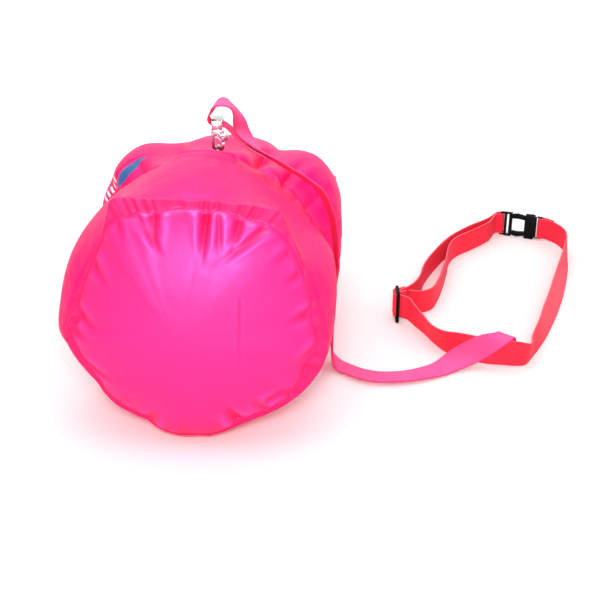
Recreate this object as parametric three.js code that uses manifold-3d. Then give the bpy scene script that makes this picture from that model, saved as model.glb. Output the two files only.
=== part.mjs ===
// Inflatable swim float of the dry-bag kind, lying on its side, with leash, snap hook and waist belt.
// Millimetres, +Z up. The float's axis runs along Y, its round welded end faces -Y.
// The origin is the middle of the flat patch on which the front air chamber rests.
// "Back" is always the distance behind the welded front rim, towards +Y.
import * as THREE from 'three';
import { mergeVertices } from 'three/addons/utils/BufferGeometryUtils.js';
import Module from 'manifold-3d';

const wasm = await Module();
wasm.setup();

// ---------- driving dimensions ----------
const AXIS_Z = 105;           // height of the float's axis above the floor
const RIM_Y = -62;            // plane of the welded front rim
const LENGTH = 285;           // front rim to the end of the rear chamber
const LINER_R = 66;           // outer radius of the dry-bag liner
const LINER_WALL = 1.0;
const WEBBING_W = 25;
const WEBBING_T = 1.6;
const MOUTH_HALF = 86;        // half length of the rolled mouth
const ROLL_BACK = 331.5;      // roll centre
const HOOK_X = 8;             // the D-ring and snap hook hang on this upright line
const HOOK_Y = 54;
const BUCKLE_W = 29;          // side-release buckle
const BUCKLE_T = 7.4;
const FACETS = 60;            // facets round the float
const LAY_TURN = 5;           // degrees by which belt, leash and hook are turned round +Z
const LAY_X = 7;              // their shift along +X before that turn

const vec = (x, y, z) => new THREE.Vector3(x, y, z);
const rad = (degrees) => (degrees * Math.PI) / 180;
const X_AXIS = vec(1, 0, 0);
const Y_AXIS = vec(0, 1, 0);
const Z_AXIS = vec(0, 0, 1);

// ---------- materials ----------
const FINISHES = {
  pink: { color: 0xff3292, roughness: 0.35, metalness: 0 },
  pink2: { color: 0xff2f86, roughness: 0.38, metalness: 0 },
  panel: { color: 0xff3a9c, roughness: 0.33, metalness: 0 },
  liner: { color: 0xf04090, roughness: 0.5, metalness: 0 },
  webbing: { color: 0xff3a6c, roughness: 0.8, metalness: 0 },
  black: { color: 0x0b0b0d, roughness: 0.45, metalness: 0 },
  nickel: { color: 0xcfcfd2, roughness: 0.22, metalness: 1 },
  steel: { color: 0xb5b7ba, roughness: 0.3, metalness: 1 },
  valve: { color: 0xf4f0f0, roughness: 0.4, metalness: 0 },
  strip: { color: 0x2a2a2c, roughness: 0.5, metalness: 0 },
};

// ---------- meshes and solids ----------
// indexed geometry whose triangles are turned to face outwards
function fromLists(positions, triangles) {
  const point = (i) => vec(...positions.slice(3 * i, 3 * i + 3));
  let volume = 0;
  for (let i = 0; i < triangles.length; i += 3) {
    const [a, b, c] = triangles.slice(i, i + 3).map(point);
    volume += a.dot(b.cross(c));
  }
  if (volume < 0) {
    for (let i = 0; i < triangles.length; i += 3) {
      [triangles[i + 1], triangles[i + 2]] = [triangles[i + 2], triangles[i + 1]];
    }
  }
  const geometry = new THREE.BufferGeometry();
  geometry.setAttribute('position', new THREE.BufferAttribute(new Float32Array(positions), 3));
  geometry.setIndex(triangles);
  return geometry;
}

// merges coincident vertices and drops the triangles that collapse
function clean(source) {
  const bare = source.clone();
  bare.deleteAttribute('normal');
  bare.deleteAttribute('uv');
  const merged = mergeVertices(bare, 1e-4);
  const index = merged.index.array;
  const triangles = [];
  for (let i = 0; i < index.length; i += 3) {
    const [a, b, c] = index.slice(i, i + 3);
    if (a !== b && b !== c && a !== c) triangles.push(a, b, c);
  }
  return fromLists(Array.from(merged.attributes.position.array), triangles);
}

function toManifold(source) {
  const geometry = clean(source);
  return new wasm.Manifold(new wasm.Mesh({
    numProp: 3,
    vertProperties: new Float32Array(geometry.attributes.position.array),
    triVerts: new Uint32Array(geometry.index.array),
  }));
}
function fromManifold(manifold) {
  const { vertProperties, triVerts } = manifold.getMesh();
  const geometry = new THREE.BufferGeometry();
  const positions = new THREE.BufferAttribute(new Float32Array(vertProperties), 3);
  geometry.setAttribute('position', positions);
  geometry.setIndex(Array.from(triVerts));
  return geometry;
}
const cut = (body, ...tools) =>
  fromManifold(tools.reduce((rest, tool) => rest.subtract(toManifold(tool)), toManifold(body)));
const join = (body, ...others) =>
  fromManifold(others.reduce((sum, other) => sum.add(toManifold(other)), toManifold(body)));

// rings of equal length joined in order; open lofts are capped,
// with a fan round the middle when a ring has more than four points
function loft(rings, closed = false) {
  const count = rings[0].length;
  const positions = rings.flat().flatMap((p) => [p.x, p.y, p.z]);
  const triangles = [];
  const spans = closed ? rings.length : rings.length - 1;
  for (let i = 0; i < spans; i++) {
    const a = i * count;
    const b = ((i + 1) % rings.length) * count;
    for (let j = 0; j < count; j++) {
      const k = (j + 1) % count;
      triangles.push(a + j, b + j, b + k, a + j, b + k, a + k);
    }
  }
  const cap = (i, flip) => {
    const first = i * count;
    const fan = count > 4;
    const middle = positions.length / 3;
    if (fan) {
      const centre = vec(0, 0, 0);
      rings[i].forEach((p) => centre.addScaledVector(p, 1 / count));
      positions.push(centre.x, centre.y, centre.z);
    }
    for (let j = 0; j < (fan ? count : count - 2); j++) {
      const triangle = fan
        ? [middle, first + j, first + ((j + 1) % count)]
        : [first, first + j + 1, first + j + 2];
      triangles.push(...(flip ? triangle.reverse() : triangle));
    }
  };
  if (!closed) {
    cap(0, false);
    cap(rings.length - 1, true);
  }
  return fromLists(positions, triangles);
}

// a flat strip given by its two edges; each station is [ax, ay, az, bx, by, bz]
function strip(stations, thickness = WEBBING_T, steps = 2) {
  const count = (stations.length - 1) * steps;
  const edge = (from) => {
    const points = stations.map((s) => vec(...s.slice(from, from + 3)));
    const curve = new THREE.CatmullRomCurve3(points, false, 'centripetal');
    return Array.from({ length: count + 1 }, (_, i) => curve.getPoint(i / count));
  };
  const edgeA = edge(0);
  const edgeB = edge(3);
  return loft(edgeA.map((a, i) => {
    const b = edgeB[i];
    const before = Math.max(0, i - 1);
    const after = Math.min(count, i + 1);
    const along = edgeA[after].clone().add(edgeB[after]).sub(edgeA[before]).sub(edgeB[before]);
    const half = along.cross(b.clone().sub(a)).normalize().multiplyScalar(thickness / 2);
    return [a.clone().add(half), b.clone().add(half), b.clone().sub(half), a.clone().sub(half)];
  }));
}

// a closed round wire along points in a plane of constant x
function wireLoop(points, radius, segments) {
  const count = points.length;
  return loft(points.map((p, i) => {
    const along = points[(i + 1) % count].clone().sub(points[(i + count - 1) % count]).normalize();
    const side = vec(0, 0, 0).crossVectors(along, X_AXIS).normalize();
    return Array.from({ length: segments }, (_, j) => {
      const a = (2 * Math.PI * j) / segments;
      return p.clone().addScaledVector(X_AXIS, radius * Math.cos(a))
        .addScaledVector(side, radius * Math.sin(a));
    });
  }), true);
}

// closed profile [radius, height] turned about the local Z axis
function turned(profile, segments) {
  const touchesAxis = profile[0][0] === 0 && profile.at(-1)[0] === 0;
  const points = (touchesAxis ? profile : [...profile, profile[0]])
    .map(([r, z]) => new THREE.Vector2(r, z));
  const geometry = new THREE.LatheGeometry(points, segments);
  geometry.rotateX(Math.PI / 2); // lathe axis Y becomes Z
  return clean(geometry);
}
const cylinder = (r, z0, z1, segments) => turned([[0, z0], [r, z0], [r, z1], [0, z1]], segments);

function box([x0, x1], [y0, y1], [z0, z1]) {
  const geometry = new THREE.BoxGeometry(x1 - x0, y1 - y0, z1 - z0);
  geometry.translate((x0 + x1) / 2, (y0 + y1) / 2, (z0 + z1) / 2);
  return clean(geometry);
}
function extrude(outline, [z0, z1]) {
  const options = { depth: z1 - z0, bevelEnabled: false, curveSegments: 4 };
  const geometry = new THREE.ExtrudeGeometry(outline, options);
  geometry.translate(0, 0, z0);
  return clean(geometry);
}
const prism = (points, zRange) =>
  extrude(new THREE.Shape(points.map(([x, y]) => new THREE.Vector2(x, y))), zRange);
// a box with its four Z edges rounded
function plate([x0, x1], [y0, y1], zRange, r) {
  const s = new THREE.Shape();
  s.moveTo(x0 + r, y0);
  s.lineTo(x1 - r, y0);
  s.quadraticCurveTo(x1, y0, x1, y0 + r);
  s.lineTo(x1, y1 - r);
  s.quadraticCurveTo(x1, y1, x1 - r, y1);
  s.lineTo(x0 + r, y1);
  s.quadraticCurveTo(x0, y1, x0, y1 - r);
  s.lineTo(x0, y0 + r);
  s.quadraticCurveTo(x0, y0, x0 + r, y0);
  return extrude(s, zRange);
}

// a frame is the matrix that takes local axes into the float's space
const makeFrame = (origin, x, y, z) => new THREE.Matrix4().makeBasis(x, y, z).setPosition(origin);
const place = (geometry, frame) => geometry.clone().applyMatrix4(frame);
// local X stays, local Y points up, local Z points to -Y
const facingFront = (origin) => makeFrame(origin, X_AXIS, Z_AXIS, vec(0, -1, 0));
// local Z points to +Y
const facingBack = (origin) => makeFrame(origin, X_AXIS, vec(0, 0, -1), Y_AXIS);

const float = new THREE.Group();
float.name = 'swim_float';
const laidFrame = new THREE.Matrix4().makeRotationZ(rad(LAY_TURN))
  .multiply(new THREE.Matrix4().makeTranslation(LAY_X, 0, 0));

function add(name, source, finish, frame = new THREE.Matrix4()) {
  const geometry = clean(source).applyMatrix4(frame);
  geometry.computeVertexNormals();
  const mesh = new THREE.Mesh(geometry, new THREE.MeshStandardMaterial(FINISHES[finish]));
  mesh.name = name;
  float.add(mesh);
}
// for belt, leash and hook, which are laid out askew to the float
const addLaid = (name, source, finish) => add(name, source, finish, laidFrame);

// ---------- the float's outer form ----------
// sections as [degrees round the axis from +X towards +Z, radius]
const RIM = [ // the welded rim
  [0, 107], [3.6, 105], [15.7, 103], [26.5, 105], [40.4, 111.8], [48, 117], [53, 123.5],
  [60, 116.5], [69.7, 109.4], [85.4, 103.8], [101.6, 106], [110, 110.8], [116, 115.5],
  [121, 105], [129, 94], [140.3, 88], [152.1, 85.5], [166.5, 86], [179, 91], [187, 96.5],
  [197, 93], [205, 90.5], [216, 89], [221, 91], [231, 92.5], [240, 91], [248, 90.5],
  [255, 95.5], [265, 97.5], [274, 96], [279, 97], [288, 95], [298, 92.8], [307, 94.6],
  [319, 99.5], [330, 104], [346, 110], [353, 111], [360, 107],
];
const FRONT_MID = [ // the middle of the front chamber
  [0, 112.4], [13.8, 115], [20.8, 115.5], [28.4, 111.5], [40.8, 107.3], [53.2, 106.5],
  [65.6, 110], [75.3, 113.5], [88.6, 114.5], [96.1, 112.8], [110.9, 107.5], [121.2, 105.5],
  [127.7, 105.5], [142.3, 105.3], [153.4, 107.3], [164.5, 109.5], [175.9, 111.7],
  [183.5, 114.8], [193.7, 119.6], [199.7, 121.5], [210, 121], [220, 119.5], [230, 117],
  [240, 113.6], [250, 111.6], [255, 109.8], [260, 108], [265, 106.8], [270, 106.4],
  [275, 106.8], [280, 108], [285, 109.8], [290, 111.8], [300, 113], [306, 114], [316, 116],
  [330, 116.5], [339, 116], [350, 113], [360, 112.4],
];
const REAR_MID = [ // the middle of the rear chamber
  [0, 109.5], [11.7, 111], [20, 114.2], [28, 115.3], [36, 114.1], [42, 112.1], [47, 104.2],
  [52, 94.6], [58.8, 86.5], [66.6, 86], [75, 88], [83, 88.1], [90, 88.1], [98.4, 88.5],
  [107.7, 89], [113.3, 89.3], [118.2, 89.8], [123.7, 93], [129.4, 103.6], [135.3, 113.6],
  [143.3, 118.3], [149.5, 118], [154.5, 117.1], [160.8, 117], [166.5, 117.4], [180, 113.5],
  [200, 112], [215, 113], [230, 112], [240, 111.4], [250, 110.6], [255, 109.2], [260, 107.6],
  [265, 106.4], [270, 106], [275, 106.4], [280, 107.6], [285, 109.2], [290, 110.8],
  [300, 112], [310, 112.6], [325, 113], [340, 111], [360, 109.5],
];
const WAIST_R = 94.9;
const END_R = 71;
// extra height over the top, up to just in front of the anchor patch: [back, height]
const BRIDGE = [[75, 0.5], [88, 4.5], [96, 12], [102, 10], [105, 0]];
// how far the wall is tucked in behind the rim, low on the -X side: [back, depth]
const TUCK = [[0, 0], [8, 4.2], [25, 7.2], [45, 0.5], [60, 0]];
const TUCK_END = 60;
// share of each section: [back, rim, front middle, waist, rear middle, end]
const MIX = [
  [0, 1, 0, 0, 0, 0], [8, 0.72, 0.28, 0, 0, 0], [25, 0.3, 0.7, 0, 0, 0],
  [45, 0.06, 0.94, 0, 0, 0], [60, 0, 1, 0, 0, 0], [75, 0, 0.96, 0.04, 0, 0],
  [88, 0, 0.78, 0.22, 0, 0], [96, 0, 0.38, 0.62, 0, 0], [102, 0, 0.07, 0.93, 0, 0],
  [105, 0, 0, 1, 0, 0], [126, 0, 0, 1, 0, 0], [153, 0, 0, 1, 0, 0],
  [162, 0, 0, 0.62, 0.38, 0], [174, 0, 0, 0.24, 0.76, 0], [188, 0, 0, 0.04, 0.96, 0],
  [202, 0, 0, 0, 1, 0], [220, 0, 0, 0, 0.97, 0.03], [238, 0, 0, 0, 0.8, 0.2],
  [254, 0, 0, 0, 0.56, 0.44], [268, 0, 0, 0, 0.32, 0.68], [278, 0, 0, 0, 0.12, 0.88],
  [285, 0, 0, 0, 0, 1],
];

// the table's values (without the first column) at x, held constant beyond its ends
function valuesAt(table, x) {
  const next = table.findIndex((row) => x <= row[0]);
  if (next === 0) return table[0].slice(1);
  if (next < 0) return table.at(-1).slice(1);
  const before = table[next - 1];
  const after = table[next];
  const share = (x - before[0]) / (after[0] - before[0]);
  return after.map((value, j) => before[j] + (value - before[j]) * share).slice(1);
}
const valueAt = (table, x) => valuesAt(table, x)[0];

// rises over the first pair of angles and falls over the second
const sector = (d, rise, fall) =>
  THREE.MathUtils.smoothstep(d, ...rise) * (1 - THREE.MathUtils.smoothstep(d, ...fall));

function radiusAt(angle, back) {
  const d = (((angle * 180) / Math.PI) % 360 + 360) % 360;
  const [rim, frontMid, waist, rearMid, end] = valuesAt(MIX, back);
  const lift = back < TUCK_END
    ? -valueAt(TUCK, back) * sector(d, [190, 202], [232, 246])
    : valueAt(BRIDGE, back) * sector(d, [70, 77], [99, 108]);
  return rim * valueAt(RIM, d) + frontMid * valueAt(FRONT_MID, d) + waist * WAIST_R
    + rearMid * valueAt(REAR_MID, d) + end * END_R + lift;
}
// a point on the outer form, which is flattened where it would pass through the floor
function skin(angle, back, offset = 0) {
  const r = radiusAt(angle, back) + offset;
  return vec(r * Math.cos(angle), RIM_Y + back, Math.max(0, AXIS_Z + r * Math.sin(angle)));
}
// calls make(angle) at the middle of each of count facets round the axis
const around = (count, make) =>
  Array.from({ length: count }, (_, i) => make((2 * Math.PI * (i + 0.5)) / count));

// ---------- air chambers and their valves ----------
const CHAMBER_INNER_R = LINER_R + 0.4;
const VALVE_ANGLE = 215; // degrees round the axis, from +X
const CHAMBERS = [
  {
    side: 'front', finish: 'pink', valveBack: 75,
    stations: [0.3, 8, 25, 45, 60, 75, 88, 96, 102, 105, 126, 140.8],
  },
  {
    side: 'rear', finish: 'pink2', valveBack: 197,
    stations: [141.2, 153, 162, 174, 188, 202, 220, 238, 254, 268, 278, LENGTH],
  },
];

// an air chamber round the liner, with outer stations at the given distances back
function chamber(stations) {
  const first = stations[0];
  const last = stations.at(-1);
  return loft(around(FACETS, (a) => {
    const x = CHAMBER_INNER_R * Math.cos(a);
    const z = AXIS_Z + CHAMBER_INNER_R * Math.sin(a);
    const inner = [last, (first + last) / 2, first].map((back) => vec(x, RIM_Y + back, z));
    return [...stations.map((back) => skin(a, back)), ...inner];
  }), true);
}
// on the skin, local Z outwards, local X as near +Y as the skin allows
function valveFrame(back) {
  const a = rad(VALVE_ANGLE);
  const turn = 0.02; // radians and millimetres to each side for the slope of the skin
  const shift = 3;
  const round = skin(a + turn, back).sub(skin(a - turn, back)).normalize();
  const along = skin(a, back + shift).sub(skin(a, back - shift)).normalize();
  const out = round.cross(along).normalize();
  if (out.x * Math.cos(a) + out.z * Math.sin(a) < 0) out.negate();
  const x = Y_AXIS.clone().addScaledVector(out, -out.y).normalize();
  return makeFrame(skin(a, back), x, out.clone().cross(x), out);
}
function addValve(side, frame) {
  const seat = [[4.2, -14], [7, -14], [7, -1.4], [11, -1.4], [11, 0], [4.2, 0]];
  const stem = [[1.6, -12], [4.1, -12], [4.1, 0.25], [5.2, 0.25], [5.2, 2.2], [1.6, 2.2]];
  const cap = [[0, 1.9], [1.35, 1.9], [1.35, 2.5], [5.35, 2.5], [5.35, 4.2], [4.8, 4.7], [0, 4.7]];
  const strap = box([5.55, 6.7], [-1.7, 1.7], [0.3, 2.3]);
  add(`${side}_valve_seat`, place(turned(seat, 24), frame), 'valve');
  add(`${side}_valve_stem`, place(turned(stem, 20), frame), 'valve');
  add(`${side}_valve_cap`, place(turned(cap, 20), frame), 'valve');
  add(`${side}_valve_cap_strap`, place(strap, frame), 'valve');
}
for (const { side, finish, valveBack, stations } of CHAMBERS) {
  const frame = valveFrame(valveBack);
  const recess = place(cylinder(11.5, -1.7, 12, 28), frame);
  const well = place(cylinder(7.5, -15, -1, 28), frame);
  add(`${side}_air_chamber`, cut(chamber(stations), recess, well), finish);
  addValve(side, frame);
}

// ---------- welded end panel: flat flange round an inflated, lobed cushion ----------
function endPanel() {
  const LOBES = 13;
  const FLANGE_T = 1.4;
  const BULGE = 25;
  const shares = [0.25, 0.48, 0.66, 0.79, 0.87, 0.91, 1]; // of the rim's radius
  const ring = (share, depthAt) => around(FACETS, (a) => {
    const p = skin(a, 0);
    return vec(p.x * share, RIM_Y - depthAt(a), AXIS_Z + (p.z - AXIS_Z) * share);
  });
  const flat = (share) => ring(share, () => 0);
  const cushion = (share) => ring(share, (a) => {
    const weld = 0.9 + 0.022 * Math.cos(LOBES * a);
    const u = Math.min(1, share / weld);
    return FLANGE_T + BULGE * Math.pow(Math.max(0, 1 - u * u), 0.68);
  });
  // from the middle of the flat side out to the rim and in again over the cushion
  return loft([flat(shares[0]), flat(1), ...shares.toReversed().map(cushion)]);
}
add('welded_end_panel', endPanel(), 'panel');

// ---------- dry-bag liner, collar and rolled mouth ----------
function liner() {
  const START = 2;
  const inner = LINER_R - LINER_WALL;
  const profile = [[inner, START], [LINER_R, START], [LINER_R, LENGTH], [inner, LENGTH]];
  return place(turned(profile, 40), facingBack(vec(0, RIM_Y, AXIS_Z)));
}
// goes from the liner's round end to the flat mouth
function collar() {
  const WALL = 1.1;
  const FLAT_HALF = 2.2; // half height at the mouth
  const start = LENGTH + 0.4;
  const end = ROLL_BACK - 14;
  const steps = [0, 0.25, 0.5, 0.75, 1];
  const point = (a, t, inset) => {
    const ease = t * t * (3 - 2 * t);
    const rx = LINER_R + (MOUTH_HALF + 1 - LINER_R) * Math.sin((t * Math.PI) / 2) - inset;
    const rz = LINER_R * (1 - ease) + FLAT_HALF * ease - inset;
    return vec(rx * Math.cos(a), RIM_Y + start + (end - start) * t, AXIS_Z + rz * Math.sin(a));
  };
  return loft(around(36, (a) => [
    ...steps.map((t) => point(a, t, 0)),
    ...steps.toReversed().map((t) => point(a, t, WALL)),
  ]), true);
}
// two plies rolled up together, drawn as one thickness
function roll() {
  const TURNS = 2.2;
  const STEPS = 40;
  const THICKNESS = 2.2;
  const PITCH = 2.8;
  const OUTER_R = 12;
  const rings = [];
  for (let i = 0; i <= STEPS; i++) {
    const turn = (TURNS * i) / STEPS;
    const a = Math.PI - 2 * Math.PI * turn;
    const r = OUTER_R - PITCH * turn;
    const point = (x, q) =>
      vec(x, RIM_Y + ROLL_BACK + q * Math.cos(a), AXIS_Z + q * Math.sin(a));
    const outer = r + THICKNESS / 2;
    const inner = r - THICKNESS / 2;
    rings.push([point(-MOUTH_HALF, outer), point(MOUTH_HALF, outer),
      point(MOUTH_HALF, inner), point(-MOUTH_HALF, inner)]);
  }
  return loft(rings);
}
// a flat bar in the heart of the roll
function stiffener() {
  const halfLength = MOUTH_HALF - 2;
  const y = RIM_Y + ROLL_BACK;
  return box([-halfLength, halfLength], [y - 3.8, y + 3.8], [AXIS_Z - 0.8, AXIS_Z + 0.8]);
}
add('dry_bag_liner', liner(), 'liner');
add('roll_top_collar', collar(), 'pink2');
add('rolled_mouth', roll(), 'pink2');
add('mouth_stiffener', stiffener(), 'strip');

// ---------- side-release buckle in its own axes ----------
// X along the buckle with the socket's mouth at 0 and the socket towards +X,
// Y across the webbing, Z through the thickness
const BUCKLE_HALF = BUCKLE_W / 2;
const webbingSlot = (xRange) => box(xRange, [-13, 13], [-4, 4]);

function buckleSocket() {
  const half = BUCKLE_HALF;
  const t = BUCKLE_T / 2;
  const shell = plate([0, 11.4], [-half, half], [-t, t], 1.6);
  const neck = plate([10.4, 14], [-half + 2.2, half - 2.2], [-t + 0.8, t - 0.8], 0.3);
  const barEnd = plate([13.2, 20], [-half + 0.8, half - 0.8], [-1.4, 1.4], 1.2);
  const cavity = box([-1, 9.4], [-half + 2.2, half - 2.2], [-t + 1.4, t - 1.4]);
  const sideWindows = box([2.4, 9.4], [-half - 1, half + 1], [-t + 1.9, t - 1.9]);
  return cut(join(shell, neck, barEnd), cavity, sideWindows, webbingSlot([13.5, 16.8]));
}
function bucklePlug() {
  const across = [-BUCKLE_HALF, BUCKLE_HALF];
  const base = plate([-30, -15.5], across, [-1.2, 1.2], 1.6);
  const raised = plate([-24.6, -15.5], across, [-2.3, 2.3], 1.0);
  return cut(join(base, raised), webbingSlot([-27.5, -24.5]), webbingSlot([-22, -19]));
}
// outline [x, y] of the arm on the +Y side
const ARM = [
  [-15.2, 13.2], [-9, 14.3], [-2, 13.0], [1.2, 11.9], [2.9, 11.9], [3.1, 14.0], [5.5, 14.2],
  [9.0, 11.2], [9.0, 8.4], [1, 7.2], [-9, 8.2], [-15.2, 7.6],
];
const MIRRORED_ARM = ARM.map(([x, y]) => [x, -y]).reverse();

function addBuckle(prefix, frame, addPiece) {
  const armZ = [-1.75, 1.75];
  addPiece(`${prefix}_socket`, place(buckleSocket(), frame), 'black');
  addPiece(`${prefix}_plug`, place(bucklePlug(), frame), 'black');
  addPiece(`${prefix}_arm_upper`, place(prism(ARM, armZ), frame), 'black');
  addPiece(`${prefix}_arm_lower`, place(prism(MIRRORED_ARM, armZ), frame), 'black');
}

// ---------- webbing standing on edge ----------
// station with its lower edge at x, y, z and its upper edge leaning over by leanX, leanY
const upright = ([x, y, z, leanX = 0, leanY = 0]) =>
  [x, y, z, x + leanX, y + leanY, z + Math.sqrt(WEBBING_W ** 2 - leanX ** 2 - leanY ** 2)];
// stations threaded through a fitting whose local Y is up: [local x, local z, lower edge's height]
const threaded = (frame, rows) => rows.map(([u, t, height]) => {
  const p = vec(u, 0, t).applyMatrix4(frame);
  return upright([p.x, p.y, height ?? p.z - WEBBING_W / 2]);
});
// the turns round the buckle's end bars: [local x, local z]
const SOCKET_WRAP = [[18.4, 3.0], [16.28, 2.12], [15.4, 0], [16.28, -2.12], [18.4, -3.0]];
const PLUG_WRAP = [[-28.75, 2.9], [-26.7, 2.05], [-25.85, 0], [-26.7, -2.05], [-28.75, -2.9]];

// ---------- waist belt: buckle, adjuster and webbing ----------
const beltAlong = vec(0.93, -0.3676, 0).normalize();
const beltFrame = makeFrame(vec(342.5, 394.5, 14.8), beltAlong, Z_AXIS,
  beltAlong.clone().cross(Z_AXIS));
const adjusterFrame = makeFrame(vec(172, 169, 16.9), Y_AXIS, Z_AXIS, X_AXIS);

// a plate with two webbing slots
function adjuster() {
  const half = 33 / 2;
  const slot = (xRange) => box(xRange, [-13.2, 13.2], [-3, 3]);
  return cut(plate([-10, 10], [-half, half], [-1.6, 1.6], 2), slot([-7, -1.5]), slot([1.5, 7]));
}
addBuckle('belt_buckle', beltFrame, addLaid);
addLaid('belt_adjuster', place(adjuster(), adjusterFrame), 'black');

// from the adjuster's middle bar round the floor to the socket; floor rows as for upright()
addLaid('belt_webbing_main', strip([
  ...threaded(adjusterFrame, [
    [8.6, 9.5, 3.6], [4.6, 5], [3.3, 1.6], [3.0, -1.2], [2.1, -2.6], [0, -3.3], [-2.1, -2.6],
    [-3.0, -1.2], [-3.3, 1.6], [-5.2, 5.2, 4.2],
  ]),
  ...[
    [183, 161, 3], [188, 154, 1, -1, -3], [197, 136, 0.4, -3, -7], [204, 117, 0.4, -4, -8],
    [212, 100, 0.4, -3, -5], [222, 87.5, 0.8, 1, 1], [234, 76.5, 2.6, 3, 3],
    [247, 70, 2.8, 2, 3], [261, 68, 2.8, 0, 2], [274, 67.4, 2.2, 1, 0.6],
    [283, 72, 0.6, 1, -4], [289, 81, 0.4, -1, -9], [296, 93, 0.4, -5, -7],
    [312, 123, 0.4, -8, -3], [326, 155, 0.4, -10, 0], [340, 190, 0.4, -11, 1],
    [354, 230, 0.4, -11, 2], [366, 270, 0.4, -9, 1], [375, 305, 0.4, -6, 0],
    [380, 336, 0.6, -2, -3], [380, 355, 1.0], [374.5, 372, 1.6],
  ].map(upright),
  ...threaded(beltFrame, [[24.5, 2.4], [21, 3.0], ...SOCKET_WRAP, [21.5, -2.9], [26, -1.6]]),
  upright([373.2, 379, 2.0]),
]), 'webbing');

// from beside the adjuster to the plug, and back through the adjuster
addLaid('belt_webbing_adjuster_run', strip([
  ...[
    [184.5, 178.4, 3.6], [197, 179.5, 2.2], [209, 190.5, 0.8], [217.3, 211, 0.4],
    [226.6, 244, 0.4], [233.3, 272, 0.4], [242.3, 312, 0.4], [253, 333, 0.4],
    [273, 353, 0.6], [296, 377.5, 1.6],
  ].map(upright),
  ...threaded(beltFrame, [[-33.5, 3.6], ...PLUG_WRAP, [-33.5, -3.4]]),
  ...[
    [297, 390, 1.6], [271, 366, 0.8], [246.2, 336, 0.4], [226.3, 299, 0.4],
    [208, 255, 0.4], [200, 223, 0.6], [192, 201, 2.2],
  ].map(upright),
  ...threaded(adjusterFrame, [
    [15.5, 11], [10.0, 4.6], [6.3, 2.4], [5.4, 0], [6.3, -2.2], [8.5, -3.1], [10.7, -2.2],
    [11.7, 0], [12.9, 3.4], [16.2, 8.6],
  ]),
]), 'webbing');

// ---------- closure buckle on the rolled mouth ----------
const closureFrame = facingFront(vec(-5, RIM_Y + 352.5, AXIS_Z));
addBuckle('closure_buckle', closureFrame, add);

const closureStation = (x, back) => upright([x, RIM_Y + back, AXIS_Z - WEBBING_W / 2]);
// round either end of the roll: [distance beyond the mouth's end, back]
const MOUTH_END = [
  [0.6, 331.5], [3.5, 331.9], [7, 334.4], [8.4, 339], [7, 344], [2, 348], [-8, 350.4], [-38, 351],
];
const roundMouthEnd = (sign) =>
  MOUTH_END.map(([beyond, back]) => closureStation(sign * (MOUTH_HALF + beyond), back));
add('closure_tab_left', strip([
  ...roundMouthEnd(-1),
  ...threaded(closureFrame,
    [[-34, 2.2], ...PLUG_WRAP, [-34, -2.6], [-42, -0.7], [-52, -0.6]]),
]), 'webbing');
add('closure_tab_right', strip([
  ...roundMouthEnd(1),
  closureStation(34, 350.6),
  ...threaded(closureFrame,
    [[24, 2.3], ...SOCKET_WRAP, [24, -2.6], [32, -0.7], [42, -0.6]]),
]), 'webbing');

// ---------- anchor patch, webbing tab and D-ring ----------
const RING_BAR_Z = 203.4; // D-ring bar height
const RING_TOP_Z = 214.6; // D-ring top rod height

// a patch on the skin over the waist, narrower towards both ends of its arc
function anchorPatch() {
  const ANGLE = 84;
  const HALF_ANGLE = 17;
  const BACK = 119;
  const HALF_WIDTH = 13.5;
  const TOP = 1.2; // offsets from the skin
  const BOTTOM = 0.4;
  const rows = [];
  for (let i = 0; i <= 8; i++) {
    const across = i / 4 - 1;
    const width = HALF_WIDTH * Math.sqrt(Math.max(0.15, 1 - Math.pow(across, 4)));
    const row = (offset) => [-1, -0.5, 0, 0.5, 1]
      .map((v) => skin(rad(ANGLE + HALF_ANGLE * across), BACK + width * v, offset));
    rows.push([...row(TOP), ...row(BOTTOM).reverse()]);
  }
  return loft(rows);
}
// lies on the patch and rises in a loop over the D-ring's bar
function ringTab() {
  const HALF_WIDTH = 6;
  const top = (x) => AXIS_Z + Math.sqrt(97.25 ** 2 - (0.996 * x + 2.27) ** 2);
  const line = [ // [x, z]
    [-5, top(-5)], [0, top(0)], [3.6, top(3.6)], [5.4, 203.2], [5.7, 204.4], [6.6, 205.4],
    [8, 205.8], [9.4, 205.4], [10.3, 204.4], [10.6, 203.2], [12.4, top(12.4) + 0.1],
    [16, top(16)], [21, top(21)],
  ];
  return strip(line.map(([x, z]) => [x, HOOK_Y - HALF_WIDTH, z, x, HOOK_Y + HALF_WIDTH, z]), 1.4, 1);
}
function dRing() {
  const BOW_R = 8.5;
  const points = [];
  for (let i = 0; i <= 12; i++) {
    const a = (Math.PI * i) / 12;
    const z = RING_TOP_Z - BOW_R + BOW_R * Math.sin(a);
    points.push(vec(HOOK_X, HOOK_Y + BOW_R * Math.cos(a), z));
  }
  const bar = [ // [y from the hook line, height over the bar]
    [-BOW_R, 1.3], [-BOW_R + 0.4, 0.4], [-BOW_R + 1.3, 0], [0, 0],
    [BOW_R - 1.3, 0], [BOW_R - 0.4, 0.4], [BOW_R, 1.3],
  ];
  points.push(...bar.map(([y, z]) => vec(HOOK_X, HOOK_Y + y, RING_BAR_Z + z)));
  return wireLoop(points, 1.2, 12);
}
add('anchor_patch', anchorPatch(), 'pink2');
addLaid('d_ring_tab', ringTab(), 'webbing');
addLaid('d_ring', dRing(), 'nickel');

// ---------- snap hook ----------
// drawn in local X and Y = the float's X and Z, local Z towards -Y
const hookFrame = facingFront(vec(HOOK_X, HOOK_Y, 0));
const addHookPart = (name, part, finish) => addLaid(name, place(part, hookFrame), finish);
const onPivot = (r, halfLength) =>
  cylinder(r, -halfLength, halfLength, 20).translate(3.9, 225.4, 0);

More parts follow.
